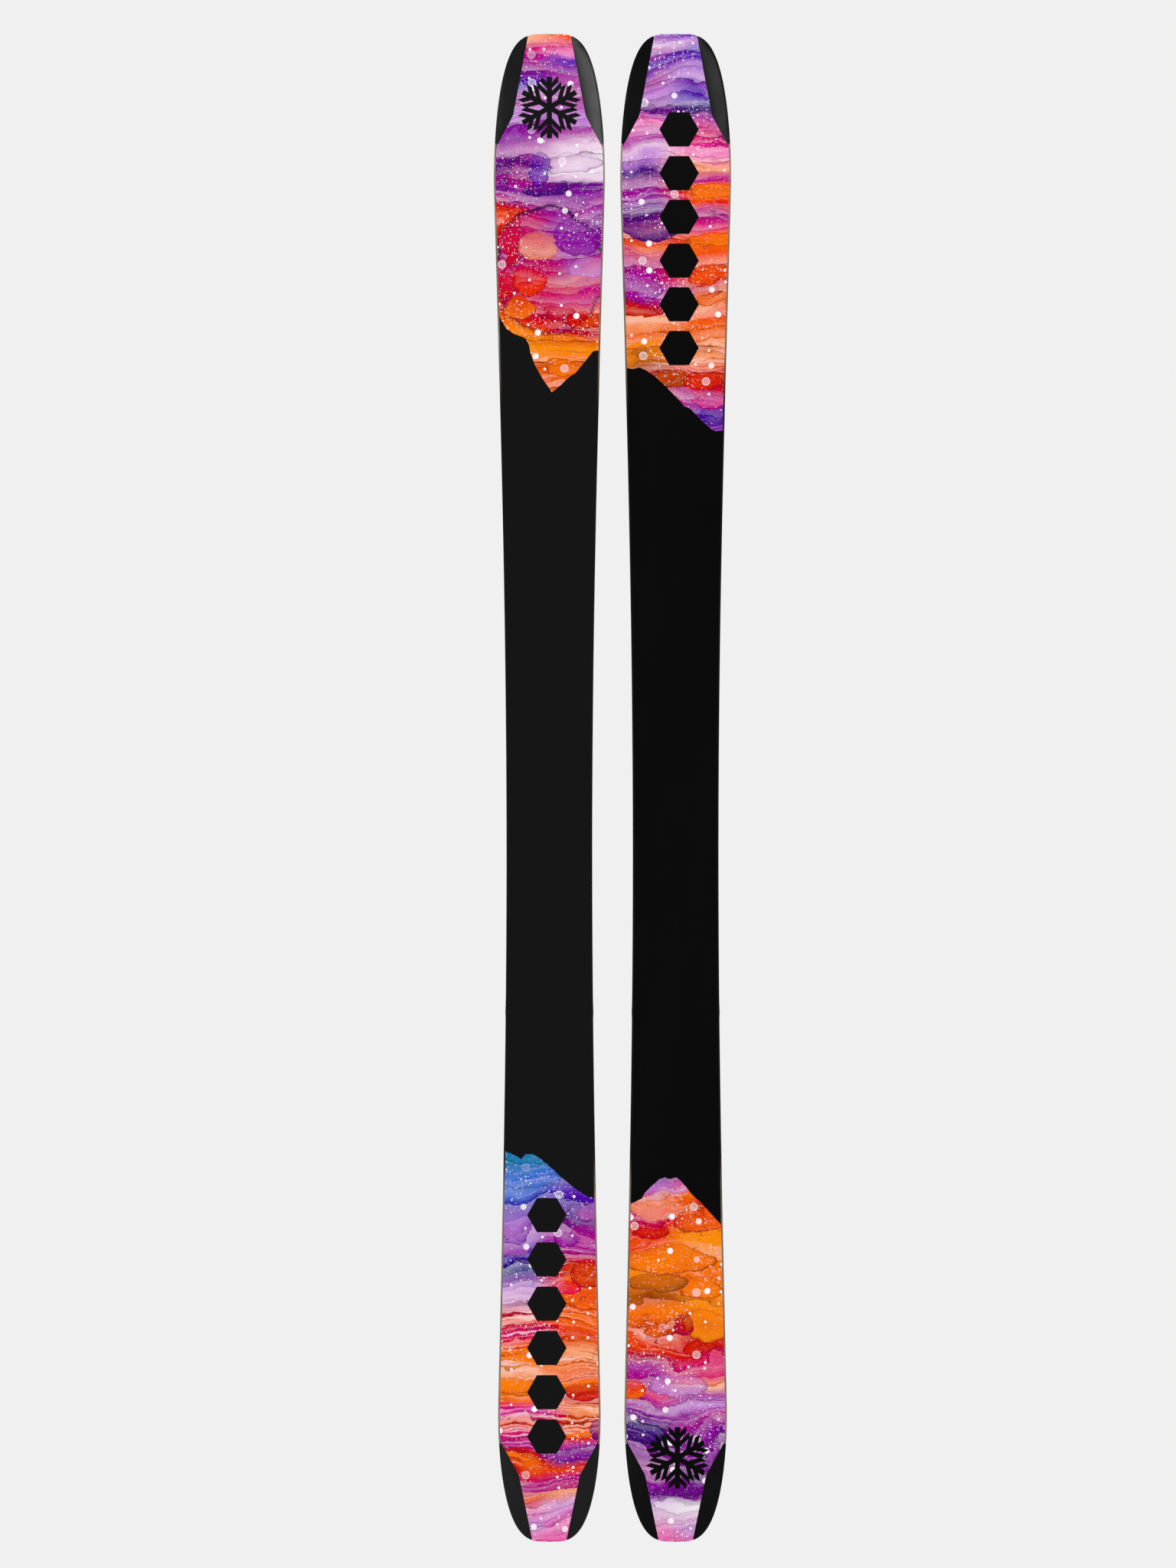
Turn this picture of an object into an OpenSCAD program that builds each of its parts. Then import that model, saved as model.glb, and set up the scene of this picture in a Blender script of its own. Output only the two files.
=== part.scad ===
// Pair of alpine skis with bindings, standing upright: tips up (+Z), bases to -Y, bindings to +Y.
// The origin lies midway between the two boot centres, in the plane the flat bases touch.
// Binding parts are drawn above the topsheet: deck() lifts them from height 0 to the topsheet.

/* [Ski outline] */
// Length from tail to tip, measured straight
ski_length = 1759; // [1700:1:1820]
// Distance from the tail to the boot centre
boot_centre = 795; // [770:1:820]
// Width at the widest place of the tip
tip_w = 129.5; // [126:0.5:134]
// Width at the waist
waist_w = 100; // [96:0.5:104]
// Width at the widest place of the tail
tail_w = 119.6; // [116:0.1:124]
// Length of the rounded tip ahead of its widest place
tip_taper = 172; // [150:1:190]
// Length of the rounded tail behind its widest place
tail_taper = 150; // [130:1:165]
// Distance between the centre lines of the two skis
ski_spacing = 147.3; // [146:0.1:170]

/* [Ski side profile] */
// Thickness under the binding
waist_t = 12; // [11:0.5:13]
// Thickness at the tip and the tail
end_t = 6.5; // [5.5:0.5:8]
// Height of the camber under the boot
camber = 3; // [1:0.5:5]
// Rise of the tip above the snow
tip_rise = 56; // [40:1:65]
// Rise of the tail above the snow
tail_rise = 27; // [10:1:35]
// Distance from the boot centre to where tip and tail leave the snow
contact = 560; // [520:5:600]
// Half length of the flat stretch that carries the binding
flat_half = 302; // [301:1:320]

/* [Ski layers] */
// Thickness of the running base
base_t = 1.3; // [1:0.1:1.6]
// Width of a steel edge
edge_w = 2; // [1.8:0.1:2.4]
// Height of a steel edge
edge_t = 2; // [1.8:0.1:2.2]
// Width of a sidewall
sidewall_w = 4; // [3:0.5:4]
// Depth from the deck to the top of the core
cover_t = 1.1; // [0.9:0.1:1.4]
// Thickness of the topsheet
topsheet_t = 0.5; // [0.4:0.1:0.6]
// How far the end inserts' lower faces rise to their outer edges
insert_bevel = 3.2; // [2:0.1:4]

/* [Binding] */
// Height of the toe pad above the deck
toe_rest = 22; // [22:0.5:24]
// Height of the heel rest above the deck
heel_rest = 24; // [24:0.5:25]
// Radial clearance of a shaft in its bore
running = 0.06; // [0.02:0.01:0.1]
// Shank radius of the mounting screws
screw_r = 2.8; // [2.5:0.1:2.8]
// Head radius of the mounting screws
screw_head_r = 4.5; // [4:0.1:4.5]
// Depth that the heel screws reach into the ski; the same screws go less deep through thicker plates
screw_depth = 9; // [7:0.5:9]

/* [Hidden] */
$fn = 48;

tip_z = ski_length - boot_centre;
tail_z = -boot_centre;
tip_wide_z = tip_z - tip_taper;
tail_wide_z = tail_z + tail_taper;
waist_z = 8;
deck_y = camber + waist_t;
sweep = 80;

// Levels through the ski: share of the local thickness, then an offset in millimetres
snow_level = [0, 0];
base_level = [0, base_t];
edge_level = [0, edge_t];
core_level = [1, -cover_t];
skin_level = [1, -topsheet_t];
deck_level = [1, 0];

// Inner borders of the end inserts, as height along the ski and half width
tip_insert_z = tip_z - 128;
tail_insert_z = tail_z + 114;
tip_insert_line = [[tip_insert_z, 59.2], [tip_z - 95, 42.2], [tip_z, 24.5]];
tail_insert_line = [[tail_z, 19.5], [tail_z + 78, 35.6], [tail_insert_z, 54.6]];

// Binding places: z along the ski, h above the deck, x from the ski's centre line
toe_screw_x = 25;
toe_screw_z = [188, 222];
heel_screw_x = 23;
heel_screw_z = [-282, -170];
brake_screw_x = 12;
brake_screw_z = -139;
toe_plate_t = 6;
track_t = 4;
brake_plate_t = 8;
wing_x = 25;
wing_z = 168;
wing_h = [18.6, 37.4];
wing_pin_r = 2.5;
toe_bore_r = 9.6;
toe_bore_h = 22;
axle_z = -212;
axle_h = 24;
axle_r = 3;
cup_half = 22;
lever_z = -218;
lever_h = 50;
lever_pin_r = 3;
heel_bore_r = 9;
heel_bore_h = 47;
worm_r = 4.8;
worm_h = 19;
worm_pitch = 5;
pedal_z = -112;
pedal_h = 14;
pedal_pin_r = 2.5;
wire_r = 2.5;
arm_pivot = [36, 18, -100];
arm_bend = [45.5, 29, -117];
arm_end = [48, 23, -180];
arm_axis = [0.935, 0.342, 0.092];
foot_r = 3.7;

// Share of the sidecut reached at a share u of the way from the waist to the widest place
function sidecut(u) = 1 - pow(1 - pow(u, 1.9), 1.15);
// Blunt rounding of a ski end, 1 at the widest place and 0 at the end
function end_round(t, power) = pow(max(0, 1 - t * t), power);
function half_w(z) =
    z > tip_wide_z ? tip_w / 2 * end_round((z - tip_wide_z) / tip_taper, 0.26)
    : z < tail_wide_z ? tail_w / 2 * end_round((tail_wide_z - z) / tail_taper, 0.3)
    : z > waist_z ? waist_w / 2 + (tip_w - waist_w) / 2 * sidecut((z - waist_z) / (tip_wide_z - waist_z))
    : waist_w / 2 + (tail_w - waist_w) / 2 * sidecut((waist_z - z) / (waist_z - tail_wide_z));
function ease(s) = let(t = min(1, max(0, s))) t * t * (3 - 2 * t);
function base_y(z) =
    z > contact ? tip_rise * pow((z - contact) / (tip_z - contact), 2.3)
    : z < -contact ? tail_rise * pow((-contact - z) / (-contact - tail_z), 2.2)
    : camber * (1 - ease((abs(z) - flat_half) / (contact - flat_half)));
function thickness(z) =
    let(reach = z > 0 ? tip_z : -tail_z)
    end_t + (waist_t - end_t) * (1 - ease((abs(z) - flat_half) / (reach - flat_half)));
function level_y(z, level) = base_y(z) + level[0] * thickness(z) + level[1];
function insert_line(z) = z > 0 ? lookup(z, tip_insert_line) : lookup(z, tail_insert_line);

side_z = concat(
    [for (i = [0:9]) tail_z + i * (-contact - tail_z) / 10],
    [for (i = [0:5]) -contact + i * (contact - flat_half) / 6],
    [for (i = [0:5]) flat_half + i * (contact - flat_half) / 6],
    [for (i = [0:14]) contact + i * (tip_z - contact) / 14]
);
plan_z = concat(
    [for (a = [-90:6:0]) tail_wide_z + tail_taper * sin(a)],
    [for (i = [1:11]) tail_wide_z + i * (waist_z - tail_wide_z) / 12],
    [for (i = [0:13]) waist_z + i * (tip_wide_z - waist_z) / 14],
    [for (a = [0:6:90]) tip_wide_z + tip_taper * sin(a)]
);
tail_plan = [for (z = plan_z) if (z < tail_insert_z - 1) z];
mid_plan = [for (z = plan_z) if (z > tail_insert_z + 1 && z < tip_insert_z - 1) z];
tip_plan = [for (z = plan_z) if (z > tip_insert_z + 1) z];
full_mid = concat([tail_insert_z], mid_plan, [tip_insert_z]);

function reversed(list) = [for (i = [len(list) - 1:-1:0]) list[i]];
function mirrored(list) = [for (p = reversed(list)) [-p[0], p[1]]];
// Right half of a layer's outline: inside the inserts at the ends, inset from the edge between
function layer_half(inset) = concat(
    [for (z = tail_plan) [min(half_w(z), insert_line(z)), z]],
    [[insert_line(tail_insert_z), tail_insert_z]],
    [for (z = full_mid) [half_w(z) - inset, z]],
    [[insert_line(tip_insert_z), tip_insert_z]],
    [for (z = tip_plan) [min(half_w(z), insert_line(z)), z]]
);
function layer_plan(inset) = let(half = layer_half(inset), inner = [for (p = half) if (p[0] > 0.001) p])
    concat([[0, tail_z]], inner, [[0, tip_z]], mirrored(inner));
function strip_plan(width) = concat(
    [for (z = full_mid) [half_w(z), z]],
    [for (z = reversed(full_mid)) [half_w(z) - width, z]]
);
function side_profile(low, high) = concat(
    [for (z = side_z) [level_y(z, low), z]],
    [for (z = reversed(side_z)) [level_y(z, high), z]]
);

// Drawing helpers ------------------------------------------------------------------------

module at_ski(side) translate([side * ski_spacing / 2, 0, 0]) children();
module deck() translate([0, deck_y, 0]) children();
// Prism along X from a side outline of [height, z] points
module side_prism(points, x0, x1)
    translate([x0, 0, 0]) rotate([90, 0, 90]) linear_extrude(x1 - x0) polygon(points);
// Prism along Y from a plan outline of [x, z] points
module plan_prism(points, y0, y1)
    translate([0, y1, 0]) rotate([90, 0, 0]) linear_extrude(y1 - y0) polygon(points);
// Block given by its ranges in x, height and z
module block(x, h, z) translate([x[0], h[0], z[0]]) cube([x[1] - x[0], h[1] - h[0], z[1] - z[0]]);
module rod_x(r, x, h, z) translate([x[0], h, z]) rotate([0, 90, 0]) cylinder(r = r, h = x[1] - x[0]);
module rod_y(r, x, h, z) translate([x, h[1], z]) rotate([90, 0, 0]) cylinder(r = r, h = h[1] - h[0]);
module rod_z(r, x, h, z) translate([x, h, z[0]]) cylinder(r = r, h = z[1] - z[0]);
// Round bar from one point to another
module bar(from, to, r) {
    d = to - from;
    turn = atan2(d[1], d[0]);
    lean = acos(d[2] / norm(d));
    translate(from) rotate([0, lean, turn]) cylinder(r = r, h = norm(d));
}
module both_sides() {
    children();
    mirror([1, 0, 0]) children();
}
module layer(inset, low, high) intersection() {
    plan_prism(layer_plan(inset), -5, sweep);
    side_prism(side_profile(low, high), -sweep, sweep);
}
module strips(width, low, high) both_sides() intersection() {
    plan_prism(strip_plan(width), -5, sweep);
    side_prism(side_profile(low, high), 0, sweep);
}
module at_screws() {
    for (z = toe_screw_z) both_sides() translate([toe_screw_x, toe_plate_t, z]) children();
    for (z = heel_screw_z) both_sides() translate([heel_screw_x, track_t, z]) children();
    both_sides() translate([brake_screw_x, brake_plate_t, brake_screw_z]) children();
}
module screw_holes() deck() at_screws()
    rod_y(screw_r + running, 0, [-track_t - screw_depth - 0.5, 5], 0);

// Ski ------------------------------------------------------------------------------------

module base() color("#c8528a") layer(edge_w, snow_level, base_level);
module edges() color("#a08c70") strips(edge_w, snow_level, edge_level);
module laminates() color("#d8d4b8") {
    layer(edge_w, base_level, edge_level);
    difference() {
        layer(0, core_level, skin_level);
        screw_holes();
    }
}
module core() color("#c9a26b") difference() {
    layer(sidewall_w, edge_level, core_level);
    screw_holes();
}
module sidewalls() color("#1c1c1e") strips(sidewall_w, edge_level, core_level);
module topsheet() color("#5b3a86") difference() {
    layer(0, skin_level, deck_level);
    screw_holes();
}

// One insert: sections with an upright inner wall and a lower face that rises outwards
module insert(stations) {
    count = len(stations);
    sections = [for (z = stations)
        let(low = level_y(z, snow_level), high = level_y(z, deck_level), x_in = insert_line(z),
            x_out = half_w(z), rise = insert_bevel * min(1, (x_out - x_in) / 12))
        [[x_in, low, z], [x_out, low + rise, z], [x_out, high, z], [x_in, high, z]]];
    polyhedron(
        points = [for (s = sections) each s],
        faces = concat(
            [[0, 1, 2], [0, 2, 3]],
            [[4 * count - 1, 4 * count - 2, 4 * count - 3],
             [4 * count - 1, 4 * count - 3, 4 * count - 4]],
            [for (i = [0:count - 2], j = [0:3]) each
                let(a = 4 * i + j, b = 4 * i + (j + 1) % 4)
                [[a, a + 4, b], [b, a + 4, b + 4]]]
        )
    );
}
module end_inserts() color("#141416") both_sides() {
    insert(concat([tip_insert_z], [for (z = tip_plan) if (half_w(z) > insert_line(z) + 1) z]));
    insert(concat([for (z = tail_plan) if (half_w(z) > insert_line(z) + 1) z], [tail_insert_z]));
}

// Toe piece ------------------------------------------------------------------------------

module binding_screws() color("#b8babf") deck() at_screws() difference() {
    union() {
        rod_y(screw_head_r, 0, [0, 2.4], 0);
        rod_y(screw_r, 0, [-track_t - screw_depth, 0.1], 0);
    }
    block([-3, 3], [1.2, 3], [-0.6, 0.6]);
    block([-0.6, 0.6], [1.2, 3], [-3, 3]);
}
module toe_plate() color("#2b2d31") deck() difference() {
    union() {
        block([-30, 30], [0, toe_plate_t], [108, 232]);
        block([-26, 26], [toe_plate_t, toe_rest - 3], [112, 146]);
        both_sides() rod_y(7.3, wing_x, [toe_plate_t - 1, wing_h[0] - 0.2], wing_z);
    }
    block([-27, 27], [14.9, toe_rest], [124, 134]);
    block([-27, 27], [11, 15], [119, 139]);
    both_sides() rod_y(wing_pin_r + 0.02, wing_x, [2, 40], wing_z);
    deck_holes();
}
module deck_holes() at_screws() rod_y(screw_r + running, 0, [-20, 0.5], 0);
module toe_housing() color("#3a3d42") deck() difference() {
    union() {
        side_prism([[6, 158], [34, 158], [39, 164], [40, 172], [40, 196], [37, 212], [31, 228], [27, 232],
            [6, 232]], -17, 17);
        block([-32, 32], [wing_h[1] + 0.2, 42], [160.5, 175.5]);
    }
    rod_z(toe_bore_r, 0, toe_bore_h, [165, 240]);
    both_sides() rod_y(wing_pin_r + 0.02, wing_x, [30, 45], wing_z);
    block([-4, 4], [28, 45], [186, 204]);
}
module toe_wing() color("#1f2023") deck() difference() {
    union() {
        rod_y(6.8, wing_x, wing_h, wing_z);
        plan_prism([[20, 166], [20, 158], [27, 152], [34, 140], [37.5, 128], [42, 129], [43.5, 136],
            [37, 158], [30.5, 171]], wing_h[0], wing_h[1]);
        plan_prism([[27, 152], [34, 140], [37.5, 128], [42, 129], [43.5, 136], [37, 157], [24, 157]],
            wing_h[1] - 0.1, 41.6);
        plan_prism([[14, 156], [14, 150], [22, 143], [31, 133], [37.5, 128], [42, 129], [43.5, 136],
            [37, 157]], 41.5, 46);
    }
    rod_y(wing_pin_r + running, wing_x, [0, 60], wing_z);
}
module toe_wing_left() mirror([1, 0, 0]) toe_wing();
module toe_wing_right() toe_wing();
module toe_pivot_pins() color("#c4c6ca") deck() both_sides()
    rod_y(wing_pin_r, wing_x, [3, 43], wing_z);

// Coil spring along Z: a round wire swept along a helix
module coil(mean_r, wire, turns, z0, z1) {
    sides = 6;
    rings = turns * 12;
    points = [for (i = [0:rings], j = [0:sides - 1])
        let(turn = 360 * turns * i / rings, a = 360 * j / sides, r = mean_r + wire * cos(a))
        [r * cos(turn), r * sin(turn), z0 + wire + (z1 - z0 - 2 * wire) * i / rings + wire * sin(a)]];
    polyhedron(points = points, faces = concat(
        [[for (j = [0:sides - 1]) j]],
        [[for (j = [sides - 1:-1:0]) rings * sides + j]],
        [for (i = [0:rings - 1], j = [0:sides - 1]) each
            let(a = i * sides + j, b = i * sides + (j + 1) % sides)
            [[a, a + sides, b], [b, a + sides, b + sides]]]
    ));
}
module toe_spring() color("#9a9ca0") deck() translate([0, toe_bore_h, 0]) coil(6.6, 1.3, 6, 173.1, 213.9);
module toe_piston() color("#86888c") deck() {
    rod_z(toe_bore_r - 0.2, 0, toe_bore_h, [167, 173]);
    rod_z(3.4, 0, toe_bore_h, [172.9, 216]);
}
module toe_setting_screw() color("#d0a63c") deck() difference() {
    rod_z(toe_bore_r - running, 0, toe_bore_h, [214, 229]);
    rod_z(3.6, 0, toe_bore_h, [213, 224]);
    block([-6, 6], [toe_bore_h - 1, toe_bore_h + 1], [226.5, 230]);
}
module toe_pad() color("#c9cbcf") deck() {
    block([-26, 26], [toe_rest - 2.85, toe_rest], [113, 145]);
    block([-19, 19], [14.5, toe_rest - 2.8], [124.15, 133.85]);
    block([-19, 19], [11.15, 14.75], [119.15, 138.85]);
}

// Heel piece -----------------------------------------------------------------------------

module heel_track() color("#2b2d31") deck() difference() {
    union() {
        block([-29, 29], [0, track_t], [-300, -152]);
        block([-9, 9], [track_t - 0.5, 9.1], [-298, -154]);
        block([-13, 13], [9, 13], [-298, -154]);
    }
    for (i = [0:15]) block([-4, 4], [11.6, 14], [-293 + i * worm_pitch, -290.5 + i * worm_pitch]);
    deck_holes();
}
module heel_carriage() color("#3a3d42") deck() difference() {
    union() {
        block([-18, 18], [track_t + 0.3, 13.5], [-262, -158]);
        block([-cup_half, cup_half], [13.4, 15], [-262, -158]);
        block([-13, 13], [14.9, 25], [-262, -225.5]);
        block([-28, 28], [13.4, 16.5], [-223, -201]);
        both_sides() {
            block([cup_half + 0.4, 28], [16.4, axle_h], [-222, -202]);
            rod_x(10, [cup_half + 0.4, 28], axle_h, axle_z);
        }
    }
    block([-9.2, 9.2], [0, 9.2], [-270, -150]);
    block([-13.2, 13.2], [8.8, 13.2], [-270, -150]);
    block([-cup_half - 0.3, cup_half + 0.3], [14.2, 30], [-224.5, -199.5]);
    rod_z(worm_r + running, 0, worm_h, [-263, -226.5]);
    rod_x(axle_r + 0.02, [-29, 29], axle_h, axle_z);
}
module length_screw() color("#b8babf") deck() difference() {
    union() {
        rod_z(worm_r - 1, 0, worm_h, [-266, -227]);
        for (i = [0:6]) rod_z(worm_r, 0, worm_h, [-262 + i * worm_pitch, -259.5 + i * worm_pitch]);
        rod_z(5.6, 0, worm_h, [-268, -262.2]);
    }
    block([-4, 4], [worm_h - 0.7, worm_h + 0.7], [-269, -266]);
    block([-0.7, 0.7], [worm_h - 4, worm_h + 4], [-269, -266]);
}
module heel_axle() color("#c4c6ca") deck() rod_x(axle_r, [-28.6, 28.6], axle_h, axle_z);
module heel_cup() color("#1f2023") deck() difference() {
    union() {
        side_prism([[28, -196], [28, -165], [26, -162], [26, -153.5], [54.5, -153.5], [54.5, -141],
            [57, -138], [61, -141], [66, -158], [68, -180], [68, -198], [64, -218], [60, -228],
            [46, -228], [30, -221], [16, -212.5], [16, -208]], -cup_half, cup_half);
        rod_x(9.4, [-cup_half, cup_half], axle_h, axle_z);
        both_sides() rod_x(lever_pin_r, [cup_half - 1, 26.6], lever_h, lever_z);
    }
    rod_x(axle_r + running, [-29, 29], axle_h, axle_z);
    rod_z(heel_bore_r, 0, heel_bore_h, [-235, -166]);
    block([-8, 8], [27, 40], [-164, -153]);
}
module heel_lever() color("#2b2d31") deck() difference() {
    union() {
        both_sides() {
            rod_x(7, [cup_half + 0.4, 27], lever_h, lever_z);
            side_prism([[54.2, -213.9], [45.8, -222.1], [84.5, -259.5], [91.5, -252.5]],
                cup_half + 0.4, 27);
        }
        side_prism([[71, -246], [78, -239], [91.5, -252.5], [84.5, -259.5]], -27, 27);
    }
    rod_x(lever_pin_r + running, [-30, 30], lever_h, lever_z);
}
module heel_spring() color("#9a9ca0") deck() translate([0, heel_bore_h, 0])
    coil(6.4, 1.4, 7, -222, -166.1);
module heel_setting_screw() color("#d0a63c") deck() difference() {
    rod_z(heel_bore_r - running, 0, heel_bore_h, [-229.5, -222.1]);
    block([-6, 6], [heel_bore_h - 1, heel_bore_h + 1], [-231, -227]);
}

// Brake ----------------------------------------------------------------------------------

module brake_base() color("#2b2d31") deck() difference() {
    union() {
        block([-33, 33], [0, brake_plate_t], [-150, -84]);
        both_sides() block([18, 33], [brake_plate_t - 0.5, heel_rest], [-149, -93]);
    }
    rod_x(pedal_pin_r + running, [-21, 21], pedal_h, pedal_z);
    both_sides() bar(arm_pivot - 13 * arm_axis, arm_pivot + 4 * arm_axis, wire_r + running);
    deck_holes();
}
module brake_pedal() color("#1f2023") deck() union() {
    rod_x(5, [-17, 17], pedal_h, pedal_z);
    side_prism([[13, -116], [9.3, -110], [16, -84], [18, -52], [22, -48], [23.4, -52], [23.4, -117]],
        -17, 17);
    rod_x(pedal_pin_r, [-20.5, 20.5], pedal_h, pedal_z);
}
module brake_arm() color("#b4b6ba") deck() {
    foot_start = arm_bend + 0.62 * (arm_end - arm_bend);
    foot_end = arm_end + 0.06 * (arm_end - arm_bend);
    union() {
        bar(arm_pivot - 12.5 * arm_axis, arm_pivot, wire_r);
        translate(arm_pivot) sphere(r = wire_r + 0.05);
        bar(arm_pivot, arm_bend, wire_r);
        translate(arm_bend) sphere(r = wire_r + 0.05);
        bar(arm_bend, arm_end, wire_r);
    }
    color("#1f2023") difference() {
        bar(foot_start, foot_end, foot_r);
        bar(arm_bend, arm_end, wire_r + 0.02);
    }
}
module brake_arm_left() mirror([1, 0, 0]) brake_arm();
module brake_arm_right() brake_arm();

at_ski(-1) base();  // left_base
at_ski(-1) edges();  // left_edges
at_ski(-1) laminates();  // left_laminates
at_ski(-1) core();  // left_core
at_ski(-1) sidewalls();  // left_sidewalls
at_ski(-1) topsheet();  // left_topsheet
at_ski(-1) end_inserts();  // left_end_inserts
at_ski(-1) binding_screws();  // left_binding_screws
at_ski(-1) toe_plate();  // left_toe_plate
at_ski(-1) toe_housing();  // left_toe_housing
at_ski(-1) toe_wing_left();  // left_toe_wing_left
at_ski(-1) toe_wing_right();  // left_toe_wing_right
at_ski(-1) toe_pivot_pins();  // left_toe_pivot_pins
at_ski(-1) toe_spring();  // left_toe_spring
at_ski(-1) toe_piston();  // left_toe_piston
at_ski(-1) toe_setting_screw();  // left_toe_setting_screw
at_ski(-1) toe_pad();  // left_toe_pad
at_ski(-1) heel_track();  // left_heel_track
at_ski(-1) heel_carriage();  // left_heel_carriage
at_ski(-1) length_screw();  // left_length_screw
at_ski(-1) heel_axle();  // left_heel_axle
at_ski(-1) heel_cup();  // left_heel_cup
at_ski(-1) heel_lever();  // left_heel_lever
at_ski(-1) heel_spring();  // left_heel_spring
at_ski(-1) heel_setting_screw();  // left_heel_setting_screw
at_ski(-1) brake_base();  // left_brake_base
at_ski(-1) brake_pedal();  // left_brake_pedal
at_ski(-1) brake_arm_left();  // left_brake_arm_left
at_ski(-1) brake_arm_right();  // left_brake_arm_right

at_ski(1) base();  // right_base
at_ski(1) edges();  // right_edges
at_ski(1) laminates();  // right_laminates
at_ski(1) core();  // right_core
at_ski(1) sidewalls();  // right_sidewalls
at_ski(1) topsheet();  // right_topsheet
at_ski(1) end_inserts();  // right_end_inserts
at_ski(1) binding_screws();  // right_binding_screws
at_ski(1) toe_plate();  // right_toe_plate
at_ski(1) toe_housing();  // right_toe_housing
at_ski(1) toe_wing_left();  // right_toe_wing_left
at_ski(1) toe_wing_right();  // right_toe_wing_right
at_ski(1) toe_pivot_pins();  // right_toe_pivot_pins
at_ski(1) toe_spring();  // right_toe_spring
at_ski(1) toe_piston();  // right_toe_piston
at_ski(1) toe_setting_screw();  // right_toe_setting_screw
at_ski(1) toe_pad();  // right_toe_pad
at_ski(1) heel_track();  // right_heel_track
at_ski(1) heel_carriage();  // right_heel_carriage
at_ski(1) length_screw();  // right_length_screw
at_ski(1) heel_axle();  // right_heel_axle
at_ski(1) heel_cup();  // right_heel_cup
at_ski(1) heel_lever();  // right_heel_lever
at_ski(1) heel_spring();  // right_heel_spring
at_ski(1) heel_setting_screw();  // right_heel_setting_screw
at_ski(1) brake_base();  // right_brake_base
at_ski(1) brake_pedal();  // right_brake_pedal
at_ski(1) brake_arm_left();  // right_brake_arm_left
at_ski(1) brake_arm_right();  // right_brake_arm_right
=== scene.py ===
"""Looks for a pair of alpine skis with bindings: printed bases to the camera, bindings behind."""
import math
from functools import partialmethod

import bmesh
import bpy
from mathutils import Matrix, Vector


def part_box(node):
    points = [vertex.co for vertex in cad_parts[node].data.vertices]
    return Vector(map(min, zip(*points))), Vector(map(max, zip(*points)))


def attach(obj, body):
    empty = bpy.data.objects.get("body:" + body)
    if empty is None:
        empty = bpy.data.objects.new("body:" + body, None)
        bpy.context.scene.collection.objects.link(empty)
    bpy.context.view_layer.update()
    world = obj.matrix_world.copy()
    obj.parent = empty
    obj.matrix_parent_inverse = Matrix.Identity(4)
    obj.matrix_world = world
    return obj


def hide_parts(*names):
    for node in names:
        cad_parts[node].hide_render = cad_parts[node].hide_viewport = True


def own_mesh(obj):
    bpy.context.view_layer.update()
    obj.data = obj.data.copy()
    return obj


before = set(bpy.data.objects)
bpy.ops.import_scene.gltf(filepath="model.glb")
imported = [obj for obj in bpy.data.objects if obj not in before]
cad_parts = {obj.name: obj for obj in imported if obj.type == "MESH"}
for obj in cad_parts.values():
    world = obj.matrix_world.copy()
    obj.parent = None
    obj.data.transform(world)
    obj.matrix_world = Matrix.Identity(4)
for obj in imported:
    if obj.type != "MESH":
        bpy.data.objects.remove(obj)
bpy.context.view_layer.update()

MM = 0.001
SIDES = ("left", "right")

# Ski shape, in metres: the same rules as in the CAD model --------------------------------------

sheet_low, sheet_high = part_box("left_topsheet")
TIP_Z = sheet_high.z
TAIL_Z = sheet_low.z
SKI_X = {"left": (sheet_low.x + sheet_high.x) / 2}
SKI_X["right"] = -SKI_X["left"]
TIP_HALF = (sheet_high.x - sheet_low.x) / 2
WAIST_HALF = 50 * MM
TAIL_HALF = 59.8 * MM
WAIST_Z = 8 * MM
TIP_WIDE_Z = TIP_Z - 172 * MM
TAIL_WIDE_Z = TAIL_Z + 150 * MM
CONTACT = 560 * MM
FLAT_HALF = 302 * MM
CAMBER = 3 * MM
TIP_RISE = 56 * MM
TAIL_RISE = 27 * MM
WAIST_T = 12 * MM
END_T = 6.5 * MM
DECK_Y = CAMBER + WAIST_T
BASE_T = 1.3 * MM
EDGE_W = 2 * MM
EDGE_T = 2 * MM
SIDEWALL_W = 4 * MM
COVER_T = 1.1 * MM
TOPSHEET_T = 0.5 * MM
INSERT_BEVEL = 3.2 * MM
THIN = 0.3 * MM          # smallest step that is drawn
NARROWEST = 0.4 * MM     # half width that the layers keep at the very ends
STEP = 12 * MM           # distance between cross-sections
TIP_INSERT_Z = TIP_Z - 128 * MM
TAIL_INSERT_Z = TAIL_Z + 114 * MM

# Half width of the strip between the end inserts, as pairs of a place along the ski and its value
TIP_INSERT_LINE = ((TIP_Z - 136 * MM, 64 * MM), (TIP_Z - 95 * MM, 42.2 * MM), (TIP_Z, 24.5 * MM))
TAIL_INSERT_LINE = ((TAIL_Z, 19.5 * MM), (TAIL_Z + 78 * MM, 35.6 * MM), (TAIL_Z + 122 * MM, 59.5 * MM))

# Palette of the print, as sRGB shares --------------------------------------------------------

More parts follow.
